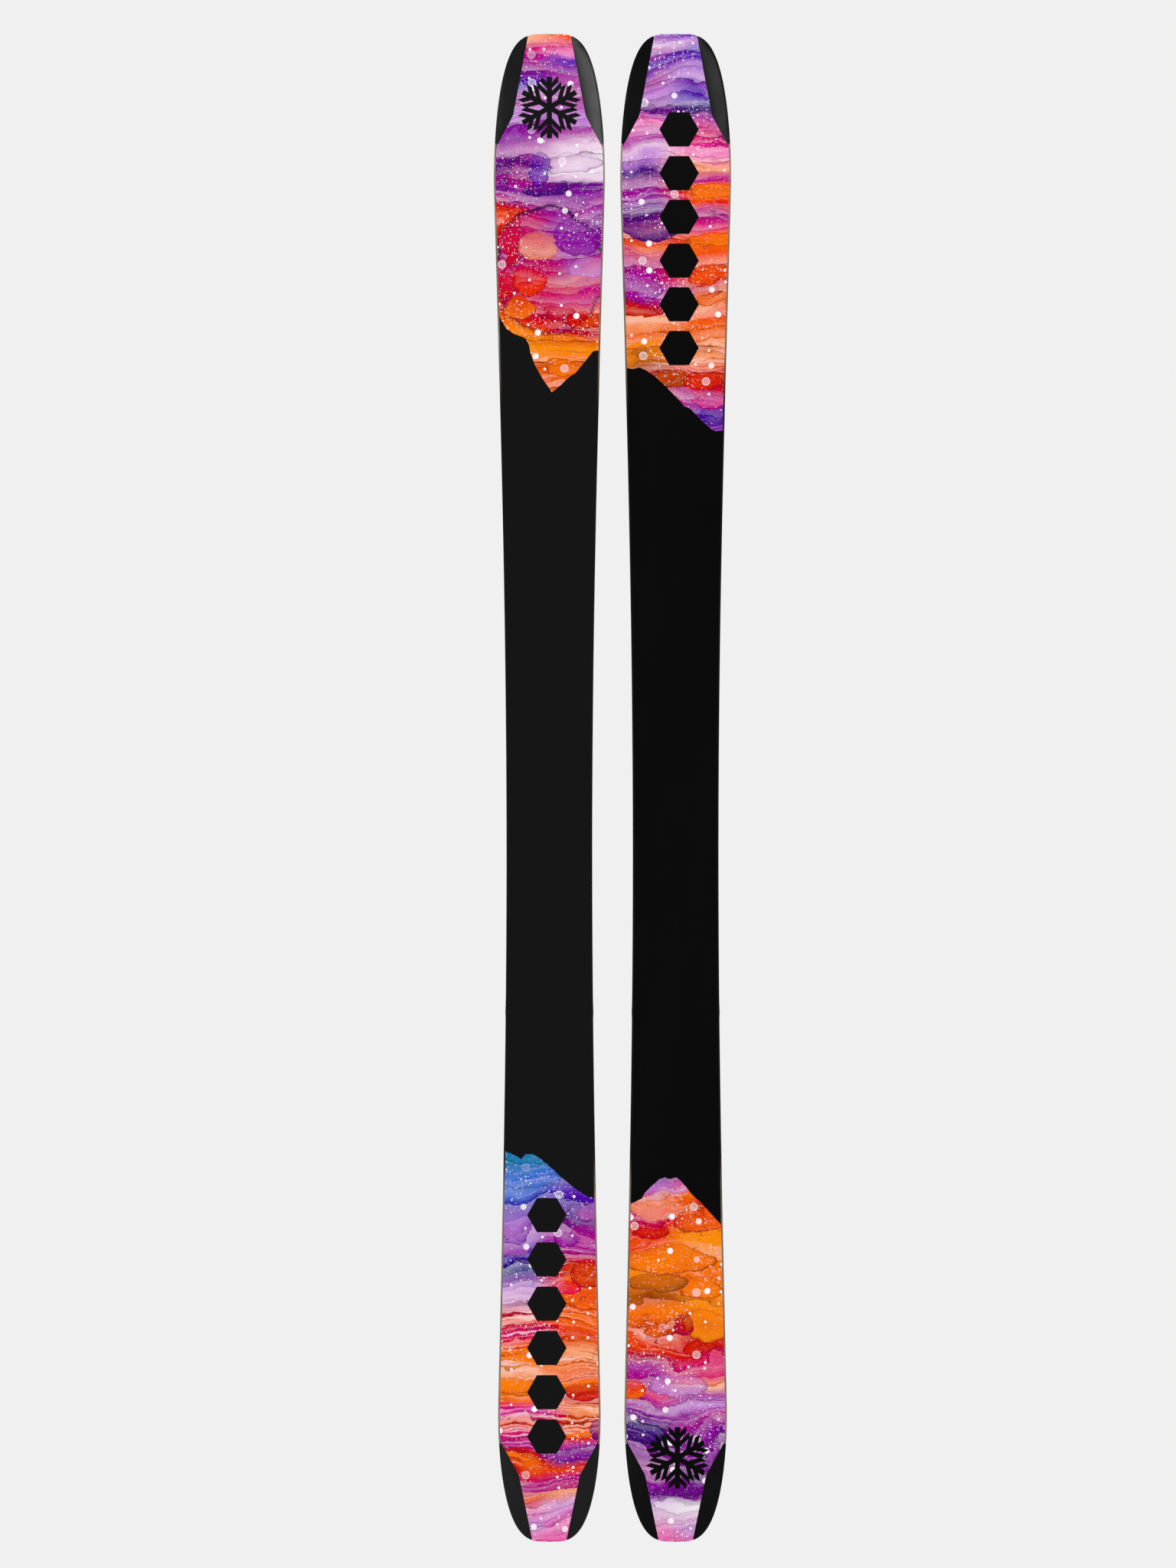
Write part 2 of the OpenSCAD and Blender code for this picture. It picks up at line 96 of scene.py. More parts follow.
PALETTE = {
    "white": (0.97, 0.95, 0.97),
    "pale": (0.88, 0.76, 0.86),
    "lilac": (0.76, 0.58, 0.82),
    "pink": (0.93, 0.58, 0.76),
    "rose": (0.86, 0.42, 0.55),
    "mauve": (0.70, 0.42, 0.66),
    "magenta": (0.70, 0.26, 0.55),
    "purple": (0.55, 0.27, 0.60),
    "plum": (0.38, 0.15, 0.48),
    "indigo": (0.24, 0.13, 0.44),
    "violet": (0.44, 0.33, 0.68),
    "blue": (0.46, 0.55, 0.82),
    "slate": (0.28, 0.30, 0.52),
    "teal": (0.30, 0.50, 0.66),
    "red": (0.80, 0.22, 0.18),
    "crimson": (0.70, 0.13, 0.22),
    "coral": (0.92, 0.44, 0.36),
    "salmon": (0.93, 0.58, 0.48),
    "peach": (0.97, 0.72, 0.60),
    "orange": (0.96, 0.46, 0.15),
    "amber": (0.97, 0.56, 0.18),
    "ochre": (0.66, 0.34, 0.10),
    # The next two are the plain blacks of the left and the right ski: the left ski's is painted lighter
    # than the right ski's, as painted light for the left ski standing in brighter light. The second also
    # darkens the steel edges along the plain middle.
    "ink": (0.060, 0.060, 0.063),
    "near_black": (0.012, 0.012, 0.013),
}


def to_linear(value):
    return value / 12.92 if value <= 0.04045 else ((value + 0.055) / 1.055) ** 2.4


def colour(name):
    return tuple(to_linear(v) for v in PALETTE[name]) + (1.0,)


def grey(level):
    return (level, level, level, 1)


# Node maths: fields are numbers that vary over the surface -----------------------------------


class Field:
    """A node socket that behaves like a number in an expression."""

    def __init__(self, tree, socket):
        self.tree = tree
        self.socket = socket

    def op(self, kind, other=0.0):
        made = Graph(self.tree).node("Math", self, other, operation=kind)
        return Field(self.tree, made.outputs[0])

    __add__ = __radd__ = partialmethod(op, "ADD")
    __sub__ = partialmethod(op, "SUBTRACT")
    __mul__ = __rmul__ = partialmethod(op, "MULTIPLY")
    __truediv__ = partialmethod(op, "DIVIDE")
    abs = partialmethod(op, "ABSOLUTE")
    floor = partialmethod(op, "FLOOR")
    fract = partialmethod(op, "FRACT")
    max = partialmethod(op, "MAXIMUM")

    def step(self, low, high, to_low=0.0, to_high=1.0):
        """Smooth step from to_low at low to to_high at high; low may be above high."""
        if low > high:
            low, high, to_low, to_high = high, low, to_high, to_low
        made = Graph(self.tree).node("MapRange", self, low, high, to_low, to_high,
                                     interpolation_type="SMOOTHSTEP")
        return Field(self.tree, made.outputs[0])


def put(tree, slot, value):
    """Sets an input from a field, a socket, a colour name or a plain value."""
    if isinstance(value, Field):
        tree.links.new(value.socket, slot)
    elif hasattr(value, "is_linked"):
        tree.links.new(value, slot)
    else:
        slot.default_value = colour(value) if isinstance(value, str) else value


class Graph:
    """Draws nodes in one tree."""

    def __init__(self, tree):
        self.tree = tree

    def node(self, kind, *values, **settings):
        """New node with its first inputs, and with settings and, in capitals, inputs by name."""
        made = self.tree.nodes.new("ShaderNode" + kind)
        for name, value in settings.items():
            if name.istitle():
                put(self.tree, made.inputs[name], value)
            else:
                setattr(made, name, value)
        for slot, value in zip(made.inputs, values):
            if value is not None:
                put(self.tree, slot, value)
        return made

    def vector(self, x, y, z=0.0):
        return self.node("CombineXYZ", x, y, z).outputs[0]

    def noise(self, place, scale=1.0, detail=2.0, rough=0.5):
        """Noise from 0 to 1 at a place given as a vector socket."""
        made = self.node("TexNoise", place, Scale=scale, Detail=detail, Roughness=rough)
        return Field(self.tree, made.outputs["Fac"])

    def drift(self, u, v, seed, detail=1.0):
        """Flat noise around 0 at two coordinates."""
        place = self.vector(u + seed * 7.3, v + seed * 3.1)
        made = self.node("TexNoise", place, noise_dimensions="2D", Scale=1.0, Detail=detail)
        return Field(self.tree, made.outputs["Fac"]) - 0.5

    def dots(self, across, z, pitch, seed):
        """Scattered dots: distance from a dot in pitches, and the dot's own chance from 0 to 1."""
        place = self.vector(across / pitch + seed * 5.7, z / pitch + seed)
        made = self.node("TexVoronoi", place, voronoi_dimensions="2D", Scale=1.0, Randomness=0.9)
        chance = self.node("SeparateColor", made.outputs["Color"])
        return Field(self.tree, made.outputs["Distance"]), Field(self.tree, chance.outputs[0])

    def ramp(self, factor, stops):
        """Colour ramp through (place, colour name or RGBA) stops, places from 0 to 1."""
        made = self.node("ValToRGB", factor)
        elements = made.color_ramp.elements
        while len(elements) < len(stops):
            elements.new(0.5)
        for element, (place, tint) in zip(elements, stops):
            element.position = place
            element.color = colour(tint) if isinstance(tint, str) else tint
        return made.outputs[0]

    def mix(self, factor, first, second):
        made = self.node("Mix", factor, data_type="RGBA")
        put(self.tree, made.inputs[6], first)
        put(self.tree, made.inputs[7], second)
        return made.outputs[2]

    def tune(self, tint, hue=0.5, saturation=1.0, value=1.0):
        return self.node("HueSaturation", hue, saturation, value, 1.0, tint).outputs[0]

    def use(self, group, *values):
        return self.node("Group", *values, node_tree=group).outputs[0]


def node_group(name, inputs, build):
    """Node group with one colour result; inputs are pairs of a name and a socket kind."""
    tree = bpy.data.node_groups.new(name, "ShaderNodeTree")
    for label, kind in inputs:
        tree.interface.new_socket(label, in_out="INPUT", socket_type="NodeSocket" + kind)
    tree.interface.new_socket("Result", in_out="OUTPUT", socket_type="NodeSocketColor")
    source = tree.nodes.new("NodeGroupInput")
    sink = tree.nodes.new("NodeGroupOutput")
    values = [Field(tree, source.outputs[label]) if kind == "Float" else source.outputs[label]
              for label, kind in inputs]
    put(tree, sink.inputs[0], build(Graph(tree), *values))
    return tree


class Paint(Graph):
    """One procedural material around a Principled shader; its places are in the frame's metres."""

    def __init__(self, name):
        self.material = bpy.data.materials.new(name)
        self.material.use_nodes = True
        super().__init__(self.material.node_tree)
        self.shader = self.tree.nodes["Principled BSDF"]
        self.coords = self.node("TexCoord").outputs["Object"]
        split = self.node("SeparateXYZ", self.coords)
        self.x, self.y, self.z = (Field(self.tree, split.outputs[i]) for i in range(3))

    def cells(self, scale):
        """Voronoi cells: distance from the cell's centre."""
        return Field(self.tree, self.node("TexVoronoi", self.coords, Scale=scale).outputs["Distance"])

    def finish(self, tint, rough, metal=0.0, specular=0.5, bump=None, depth=0.0001):
        for name, value in (("Base Color", tint), ("Roughness", rough), ("Metallic", metal),
                            ("Specular IOR Level", specular)):
            put(self.tree, self.shader.inputs[name], value)
        if bump is not None:
            made = self.node("Bump", Distance=depth, Height=bump)
            put(self.tree, self.shader.inputs["Normal"], made.outputs[0])
        return self.material


# The printed artwork -------------------------------------------------------------------------

# Each end of each ski is an ink wash. Its colours are listed from the ski's end towards the boot,
# on the left and the right side of the ski, each with its distance from the end in millimetres.
# way is the direction along the ski from its end, waves says how far the washes wander, strata how
# much of the face has fine layers. A pool is given by its centre across and along the ski, its half
# width and half height in millimetres, its colour, strength and border; with a negative half height
# its thick side is on top.
WASHES = {
    "left_tip": dict(
        end=TIP_Z, way=-1, seed=1.7, waves=0.85, strata=0.7,
        left="peach 0, rose 10, magenta 22, purple 48, violet 62, mauve 78, lilac 96, purple 108, "
             "mauve 122, plum 140, magenta 156, purple 176, magenta 196, red 208, coral 228, "
             "coral 250, red 272, coral 292, red 314, orange 330, amber 345, amber 372, salmon 396, "
             "orange 430",
        right="coral 0, pink 14, violet 24, mauve 44, mauve 70, lilac 92, mauve 108, pale 122, "
              "white 138, pale 156, plum 166, purple 182, mauve 200, purple 216, purple 244, "
              "mauve 262, salmon 280, rose 300, salmon 318, crimson 331, orange 340, amber 364, "
              "orange 392, salmon 430",
        pools=((0, 690, 66, -74, "purple", 0.45, 1.4), (34, 728, 30, 26, "purple", 0.75, 0.3),
               (-46, 722, 13, 30, "red", 0.75, 0.4), (-12, 716, 21, 18, "peach", 0.6, 0.25),
               (46, 690, 24, 11, "lilac", 0.7, 0.4), (-24, 677, 21, 17, "coral", 0.7, 0.6),
               (-51, 671, 11, 17, "red", 0.8, 0.6), (-34, 646, 17, 13, "orange", 0.85, 0.8),
               (8, 640, 20, 8, "crimson", 0.6, 0.7), (40, 632, 24, 8, "red", 0.8, 0.9),
               (16, 572, 22, 9, "orange", 0.8, 0.9), (30, 816, 32, 12, "pale", 0.75, 0.8),
               (-11, 809, 12, 20, "violet", 0.75, 1.3), (-2, 785, 25, 8, "indigo", 0.85, 0.9),
               (-58, 800, 14, 22, "plum", 0.5, 0.6))),
    "right_tip": dict(
        end=TIP_Z, way=-1, seed=5.3, waves=0.85, strata=0.9,
        left="lilac 0, pale 14, mauve 22, violet 32, mauve 48, lilac 66, purple 80, mauve 92, "
             "pink 104, mauve 124, pale 136, lilac 150, indigo 162, mauve 180, purple 200, plum 220, "
             "rose 240, salmon 258, magenta 276, mauve 296, crimson 312, peach 330, salmon 352, "
             "amber 372, ochre 392, red 412, rose 450",
        right="violet 0, lilac 12, violet 24, violet 40, lilac 58, violet 76, indigo 90, mauve 100, "
              "rose 118, pink 134, peach 152, magenta 168, orange 180, coral 196, magenta 212, "
              "rose 226, orange 244, coral 262, salmon 280, red 298, peach 316, coral 336, "
              "salmon 352, peach 376, coral 398, red 412, mauve 424, violet 444, purple 470",
        pools=((0, 876, 46, 6, "indigo", 0.6, 0.7), (-30, 735, 33, 16, "indigo", 0.9, 1.0),
               (45, 781, 27, 9, "orange", 0.85, 0.9), (42, 724, 28, 8, "orange", 0.8, 0.9),
               (-42, 670, 27, 17, "purple", 0.6, 0.7), (42, 684, 25, 10, "coral", 0.8, 0.9),
               (-42, 642, 31, 9, "crimson", 0.7, 0.8), (38, 656, 24, 7, "salmon", 0.8, 0.9),
               (30, 612, 40, 8, "salmon", 0.7, 0.8), (-44, 589, 9, 7, "ochre", 0.85, 0.9),
               (-6, 559, 20, 11, "ochre", 0.8, 0.9), (31, 557, 24, 9, "red", 0.8, 0.9),
               (40, 536, 20, 8, "rose", 0.7, 0.8), (50, 520, 22, 11, "indigo", 0.6, 0.7))),
    "left_tail": dict(
        end=TAIL_Z, way=1, seed=9.1, waves=0.45, strata=1.7,
        left="pink 0, lilac 24, pink 40, salmon 58, magenta 70, coral 84, orange 98, magenta 108, "
             "rose 122, salmon 136, pink 150, orange 164, amber 180, peach 200, orange 222, rose 242, "
             "salmon 262, pale 280, lilac 296, slate 316, violet 340, lilac 362, violet 384, "
             "blue 404, blue 424, teal 440, teal 460",
        right="pink 0, pink 20, lilac 44, peach 56, magenta 72, coral 88, plum 100, mauve 114, "
              "orange 126, salmon 142, peach 156, red 168, orange 184, salmon 204, peach 224, "
              "coral 244, orange 262, coral 284, orange 300, red 318, magenta 332, mauve 352, "
              "plum 372, violet 392, violet 412, blue 440, teal 460",
        pools=((-22, -347, 31, 8, "teal", 0.8, 0.9), (-28, -368, 44, 15, "blue", 0.6, 0.7),
               (50, -410, 15, 10, "mauve", 0.8, 0.9), (43, -436, 20, 12, "magenta", 0.6, 0.7),
               (18, -444, 16, 8, "purple", 0.8, 0.9), (-42, -453, 20, 9, "mauve", 0.6, 0.7),
               (-14, -468, 27, 4, "indigo", 0.8, 0.9), (46, -484, 22, 16, "red", 0.85, 0.9),
               (20, -500, 18, 8, "rose", 0.6, 0.7), (-43, -612, 30, 9, "orange", 0.8, 0.9),
               (40, -620, 24, 10, "red", 0.7, 0.8), (55, -664, 8, 12, "plum", 0.9, 1.0),
               (28, -693, 40, 6, "purple", 0.8, 0.9), (-30, -683, 30, 5, "magenta", 0.7, 0.8),
               (0, -730, 42, 5, "magenta", 0.8, 0.9))),
    "right_tail": dict(
        end=TAIL_Z, way=1, seed=13.6, waves=0.65, strata=0.7,
        left="pink 0, pink 22, pale 38, lilac 54, purple 66, mauve 84, purple 98, plum 112, "
             "indigo 126, purple 140, mauve 156, rose 172, magenta 186, mauve 202, crimson 216, "
             "coral 232, salmon 252, orange 270, ochre 290, orange 304, amber 320, coral 342, "
             "coral 360, rose 380, salmon 396, mauve 412, teal 440",
        right="pink 0, lilac 18, pale 36, white 52, purple 64, plum 80, purple 96, purple 114, "
              "magenta 134, lilac 150, mauve 168, peach 184, rose 200, rose 214, red 228, red 244, "
              "orange 258, amber 276, amber 296, orange 312, peach 332, amber 352, salmon 368, "
              "coral 384, orange 400, mauve 430",
        pools=((-10, -382, 36, 7, "lilac", 0.5, 0.6), (-15, -408, 45, 11, "peach", 0.6, 0.7),
               (29, -421, 30, 14, "coral", 0.7, 0.8), (-29, -432, 24, 10, "crimson", 0.7, 0.8),
               (-8, -467, 56, 16, "orange", 0.8, 0.9), (32, -498, 27, 13, "orange", 0.8, 0.9),
               (-24, -493, 36, 11, "ochre", 0.85, 0.9), (37, -543, 32, 18, "amber", 0.85, 0.9),
               (8, -544, 12, 12, "crimson", 0.9, 1.0), (29, -567, 18, 7, "red", 0.8, 0.9),
               (3, -612, 36, 14, "lilac", 0.7, 0.8), (-50, -618, 16, 12, "orange", 0.85, 0.9),
               (18, -668, 31, 20, "purple", 0.7, 0.8), (-41, -670, 30, 13, "indigo", 0.9, 1.0),
               (2, -735, 40, 5, "plum", 0.85, 0.9), (5, -751, 34, 9, "white", 0.6, 0.7))),
}
WASH_REACH = 480 * MM
BLEND_HALF = 26 * MM     # half width of the blend between the left and the right colours
CRISP = 0.25 * MM        # half width of the edge of a printed mark
HEXAGON_HALF = 20 * MM   # from a hexagon's middle to its straight side

# Mountain skylines between the print and the plain middle: points across and along the ski in
# millimetres, from left to right.
SKYLINES = {
    "left_tip": ((-67, 655), (-62, 644), (-56, 630), (-50, 620), (-41, 614), (-28, 609), (-24, 602),
                 (-22, 592), (-17, 578), (-8, 562), (3, 546), (14, 555), (22, 563), (30, 568),
                 (40, 580), (47, 589), (51, 594), (58, 595), (67, 597)),
    "right_tip": ((-67, 575), (-56, 574), (-49, 573), (-43, 575), (-35, 572), (-24, 564), (-16, 557),
                  (-1, 542), (10, 530), (18, 526), (33, 510), (44, 501), (56, 501), (67, 498)),
    "left_tail": ((-62, -334), (-52, -339), (-45, -342), (-38, -345), (-33, -349), (-28, -343),
                  (-19, -343), (-11, -348), (-1, -356), (14, -370), (30, -383), (42, -391), (53, -395),
                  (62, -400)),
    "right_tail": ((-62, -404), (-53, -401), (-40, -395), (-36, -388), (-27, -379), (-19, -372),
                   (-13, -370), (-7, -372), (1, -370), (8, -376), (20, -391), (30, -400), (43, -414),
                   (54, -426), (62, -432)),
}


def skyline_height(paint, across, points):
    """Height of the skyline at each place across the ski, as a float curve."""
    left, right = points[0][0], points[-1][0]
    heights = [height for x, height in points]
    low, high = min(heights) - 1, max(heights) + 1
    made = paint.node("FloatCurve")
    curve = made.mapping.curves[0]
    for index, (x, height) in enumerate(points):
        place = ((x - left) / (right - left), (height - low) / (high - low))
        if index in (0, len(points) - 1):
            point = curve.points[0 if index == 0 else -1]
            point.location = place
        else:
            point = curve.points.new(*place)
        point.handle_type = "VECTOR"
    made.mapping.update()
    put(paint.tree, made.inputs["Value"], (across - left * MM) / ((right - left) * MM))
    return Field(paint.tree, made.outputs["Value"]) * ((high - low) * MM) + low * MM


def darker(graph, tint, value, saturation=1.3):
    """The same ink where it dried thicker: darker, stronger and a little warmer."""
    return graph.tune(tint, 0.485, saturation, value)


def draw_pool(graph, tint, shade, place, centre, stretch, strength, border):
    """A rounded pool of ink: pale in the middle, thick at its lower side, with a dark border."""
    offset = graph.node("VectorMath", place, centre, operation="SUBTRACT").outputs[0]
    offset = graph.node("VectorMath", offset, stretch, operation="MULTIPLY").outputs[0]
    distance = Field(graph.tree, graph.node("VectorMath", offset, operation="LENGTH").outputs["Value"])
    height = Field(graph.tree, graph.node("SeparateXYZ", offset).outputs[1])
    inside = distance.step(1.03, 0.97)
    low_side = height.step(1.1, -0.5, 0.45, 1.0)
    body = inside * distance.step(0.0, 1.0, 0.72, 1.0) * low_side * strength
    tint = graph.mix(body, tint, shade)
    thick = inside * distance.step(0.72, 1.0) * low_side * strength
    tint = graph.mix(thick * 0.55, tint, darker(graph, tint, 0.62))
    line = (distance - 0.985).abs().step(0.055, 0.0) * low_side * border
    return graph.mix(line * 0.8, tint, darker(graph, tint, 0.22, 1.1))


POOL = node_group("ink_pool", (("Tint", "Color"), ("Shade", "Color"), ("Place", "Vector"),
                               ("Centre", "Vector"), ("Stretch", "Vector"), ("Strength", "Float"),
                               ("Border", "Float")), draw_pool)


def draw_layer(graph, tint, run, chance, strength):
    """One layer of washes: each starts at a crisp dark border and thins out towards the next."""
    slope = run.fract()
    wet = chance.step(-0.16, 0.10) * strength
    tint = graph.mix(slope.step(0.3, 0.95) * wet * 0.22, tint, "white")
    tint = graph.mix(slope.step(0.45, 0.0) * wet * 0.65, tint, darker(graph, tint, 0.62))
    border = slope.step(0.070, 0.0) * chance.step(-0.06, 0.08) * strength
    return graph.mix(border * 0.85, tint, darker(graph, tint, 0.22, 1.1))


LAYER = node_group("ink_layer", (("Tint", "Color"), ("Run", "Float"), ("Chance", "Float"),
                                 ("Strength", "Float")), draw_layer)


def colour_run(graph, depth, recipe):
    """Colours along the ski from a list of names and distances from its end."""
    stops = [stop.split() for stop in recipe.split(",")]
    return graph.ramp(depth, [(float(distance) * MM / WASH_REACH, name) for name, distance in stops])


def ink_wash(graph, across, z, wash):
    """Alcohol ink across the ski: wavy washes with dark borders, rounded pools, white spatter."""
    seed, way = wash["seed"], float(wash["way"])

    # Three sizes of wave carry the washes along the ski
    broad = graph.drift(across * 9.0, z * 10.0, seed) * wash["waves"]
    swirl = graph.drift(across * 26.0, z * 44.0, seed + 3.0, 2.0) * wash["waves"]
    ripple = graph.drift(across * 90.0, z * 230.0, seed + 5.0)
    flow = z + broad * (80 * MM) + swirl * (24 * MM) + ripple * (3.5 * MM)
    sideways = graph.drift(across * 11.0, z * 13.0, seed + 8.0)
    side = across + swirl * (20 * MM) + sideways * (50 * MM)
    depth = (flow - wash["end"]) * way / WASH_REACH
    left_run, right_run = (colour_run(graph, depth, wash[name]) for name in SIDES)
    tint = graph.mix(side.step(-BLEND_HALF, BLEND_HALF), left_run, right_run)

    # Thick and thin layers of washes
    for size, strength, shift in ((31 * MM, 0.85, 0.0), (12 * MM, 0.5, 4.0)):
        run = flow * way / size + broad * 1.6 + swirl * 1.2 + shift + seed
        chance = graph.drift(across * 4.0 + run.floor() * 3.77, seed, seed + shift, 0.0)
        tint = graph.use(LAYER, tint, run, chance, strength)

    # Fine wavy strata, and hair lines where two inks met
    strata = graph.drift(side * 7.0, flow * 330.0, seed + 1.0)
    veil = graph.drift(across * 10.0, z * 16.0, seed + 9.0).step(-0.10, 0.16) * wash["strata"]
    tint = graph.mix(strata.step(0.02, 0.22) * veil * 0.7, tint, darker(graph, tint, 0.60))
    tint = graph.mix(strata.step(-0.03, -0.25) * veil * 0.28, tint, "white")
    level = ((broad + swirl * 0.40 + ripple * 0.05) * 8.0).fract()
    where = graph.drift(across * 18.0, z * 24.0, seed + 2.0).step(-0.02, 0.12)
    hair = (level - 0.5).abs().step(0.030, 0.004) * where
    tint = graph.mix(hair * 0.85, tint, darker(graph, tint, 0.18, 1.0))

    place = graph.vector(across + swirl * (26 * MM) + ripple * (3 * MM),
                         z + broad * (14 * MM) + swirl * (20 * MM) + ripple * (3 * MM))
    for x, height, wide, high, shade, strength, border in wash["pools"]:
        tint = graph.use(POOL, tint, shade, place, (x * MM, height * MM, 0),
                         (1 / (wide * MM), 1 / (high * MM), 0), strength, border)

    tint = graph.tune(tint, saturation=1.24, value=0.94)
    return spatter(graph, across, z, seed, tint)


def spatter(graph, across, z, seed, tint):
    """White droplets: a fine mist that comes in drifts, larger drops, and a few pale rings."""
    mist = graph.drift(across * 15.0, z * 17.0, seed + 6.0).step(-0.08, 0.14)
    for pitch, radius, share, amount in ((2.4, 0.25, 0.45, 0.70), (5.5, 0.19, 0.60, 0.85)):
        distance, chance = graph.dots(across, z, pitch * MM, seed)
        drop = (chance.step(share, 1.0) * radius - distance).step(-0.03, 0.05)
        tint = graph.mix(drop * (mist * 0.8 + 0.2) * amount, tint, "white")
    distance, chance = graph.dots(across, z, 36 * MM, seed + 1.0)
    ring = (distance - 0.12).abs().step(0.022, 0.004) * 0.40 + distance.step(0.135, 0.115) * 0.30
    tint = graph.mix(ring * chance.step(0.88, 0.90), tint, "white")
    for pitch, radius, share in ((18, 0.095, 0.78), (42, 0.090, 0.55)):
        distance, chance = graph.dots(across, z, pitch * MM, seed + 2.0)
        drop = distance.step(radius, radius * 0.85) * chance.step(share, share + 0.02)
        tint = graph.mix(drop * chance.step(share, 1.0, 0.7, 1.0), tint, "white")
    return tint


def hexagon_row(paint, across, low, high, middle):
    """Mask of six plain hexagons in a row between two heights, centred on a line along the ski."""
    pitch = (high - low) / 6
    u = (across - middle).abs()
    v = (((paint.z - low) / pitch).fract() - 0.5).abs() * pitch
    reach = (u * 0.866 + v * 0.5).max(v)
    inside = (reach - HEXAGON_HALF).step(CRISP, -CRISP)
    return inside * (paint.z - low).step(-CRISP, CRISP) * (paint.z - high).step(CRISP, -CRISP)


def snowflake(paint, across, middle, height, radius):
    """Mask of a plain six-armed snow crystal."""
    x = across - middle
    z = paint.z - height
    mask = None
    for turn in (0, 60, 120):
        c, s = math.cos(math.radians(turn)), math.sin(math.radians(turn))
        along = (x * s + z * c).abs()
        beside = (x * c - z * s).abs()
        arm = (beside - radius * 0.085).step(CRISP, -CRISP) * (along - radius).step(CRISP, -CRISP)
        for start in (0.36, 0.64):
            # Side twigs lean 45 degrees outwards
            twig = ((along - radius * start - beside).abs() - radius * 0.10).step(CRISP, -CRISP)
            twig = twig * (beside - radius * (0.52 - 0.36 * start)).step(CRISP, -CRISP)
            arm = arm.max(twig)
        mask = arm if mask is None else mask.max(arm)
    return mask


# Marks: the flake's middle, height and radius, or the row's middle, lower and upper end
MARKS = {
    "left_tip": ("flake", 0 * MM, 878 * MM, 36 * MM),
    "left_tail": ("row", -3 * MM, -698 * MM, -388 * MM),
    "right_tip": ("row", 4 * MM, 572 * MM, 878 * MM),
    "right_tail": ("flake", 2 * MM, -697 * MM, 36 * MM),
}


def ski_print(side, end, sheet):
    """Print of one ski end: ink wash beyond the skyline and a plain dark middle. The running base
    has a dark mark and a stone-ground face, the topsheet a clear gloss."""
    paint = Paint(side + "_" + end + "_" + sheet)
    across = paint.x - SKI_X[side]
    # The left ski's plain black is painted lighter than the right ski's: painted light, as if the left
    # ski stood in brighter light.
    dark = "ink" if side == "left" else "near_black"
    wash = WASHES[side + "_" + end]
    name = side + "_" + end + "_wash"
    group = bpy.data.node_groups.get(name) or node_group(
        name, (("Across", "Float"), ("Height", "Float")), lambda graph, u, v: ink_wash(graph, u, v, wash))
    ragged = (paint.noise(paint.coords, 260.0) - 0.5) * (1.6 * MM)
    skyline = skyline_height(paint, across, SKYLINES[side + "_" + end])
    beyond = (paint.z - skyline + ragged) * -float(wash["way"])
    tint = paint.mix(beyond.step(-THIN, THIN), dark, paint.use(group, across, paint.z))
    wax = paint.noise(paint.vector(paint.x * 14.0, 0.0, paint.z * 4.0), 1.0, 3.0)
    if sheet == "top":
        pebble = paint.noise(paint.coords, 700.0)
        return paint.finish(tint, wax * 0.10 + 0.24, specular=0.35, bump=pebble, depth=0.00002)
    kind, middle, first, second = MARKS[side + "_" + end]
    if kind == "flake":
        mask = snowflake(paint, across, middle, first, second)
    else:
        mask = hexagon_row(paint, across, first, second, middle)
    tint = paint.mix(mask, tint, dark)
    lines = paint.noise(paint.vector(paint.x * 2600.0, 0.0, paint.z * 30.0))
    return paint.finish(tint, wax * 0.16 + 0.34, specular=0.05, bump=lines, depth=0.00001)


# Other materials -----------------------------------------------------------------------------


def moulded(name, tint, rough=0.5, grain=900.0, depth=0.00005, specular=0.3, wear=0.10):
    """Moulded plastic: fine leathery grain, uneven gloss, faint pale rubbing."""
    paint = Paint(name)
    pebble = paint.cells(grain)
    smear = paint.noise(paint.coords, 22.0, 3.0)
    rub = paint.noise(paint.coords, 70.0, 4.0, 0.65).step(0.60, 0.78)
    shade = paint.mix(smear, tint, tuple(v * 1.35 + 0.002 for v in tint[:3]) + (1,))
    shade = paint.mix(rub * wear, shade, (0.30, 0.30, 0.31, 1))
    return paint.finish(shade, smear * 0.18 + (rough - 0.09), specular=specular, bump=pebble, depth=depth)


def metal(name, tint, rough=0.3, along=2, stretch=60.0, scale=500.0):
    """Metal brushed or turned along one axis, with soft staining."""
    paint = Paint(name)
    parts = [paint.x * scale, paint.y * scale, paint.z * scale]
    parts[along] = parts[along] / stretch
    brush = paint.noise(paint.vector(*parts), 1.0, 3.0, 0.6)
    stain = paint.noise(paint.coords, 45.0, 3.0)
    shade = paint.mix(stain * 0.5, tint, tuple(v * 0.62 for v in tint[:3]) + (1,))
    return paint.finish(shade, brush * 0.22 + (rough - 0.08), metal=1.0, bump=brush, depth=0.00002)


def edge_steel():
    """Ground edge: fine file marks and a warm film of rust, much darker along the plain middle."""
    paint = Paint("ground_edge")
    marks = paint.noise(paint.vector(paint.x * 200.0, paint.y * 200.0, paint.z * 2600.0), 1.0, 2.0)
    film = paint.noise(paint.coords, 30.0, 4.0, 0.6).step(0.35, 0.75)
    shade = paint.mix(film, (0.30, 0.25, 0.19, 1), (0.20, 0.13, 0.075, 1))
    # Near black along the plain middle of the ski, between the two printed ends.
    middle = paint.z.step(620 * MM, 520 * MM) * paint.z.step(-400 * MM, -340 * MM)
    shade = paint.mix(middle * 0.95, shade, "near_black")
    return paint.finish(shade, marks * 0.2 + 0.30, metal=0.85, specular=0.2, bump=marks, depth=0.00002)


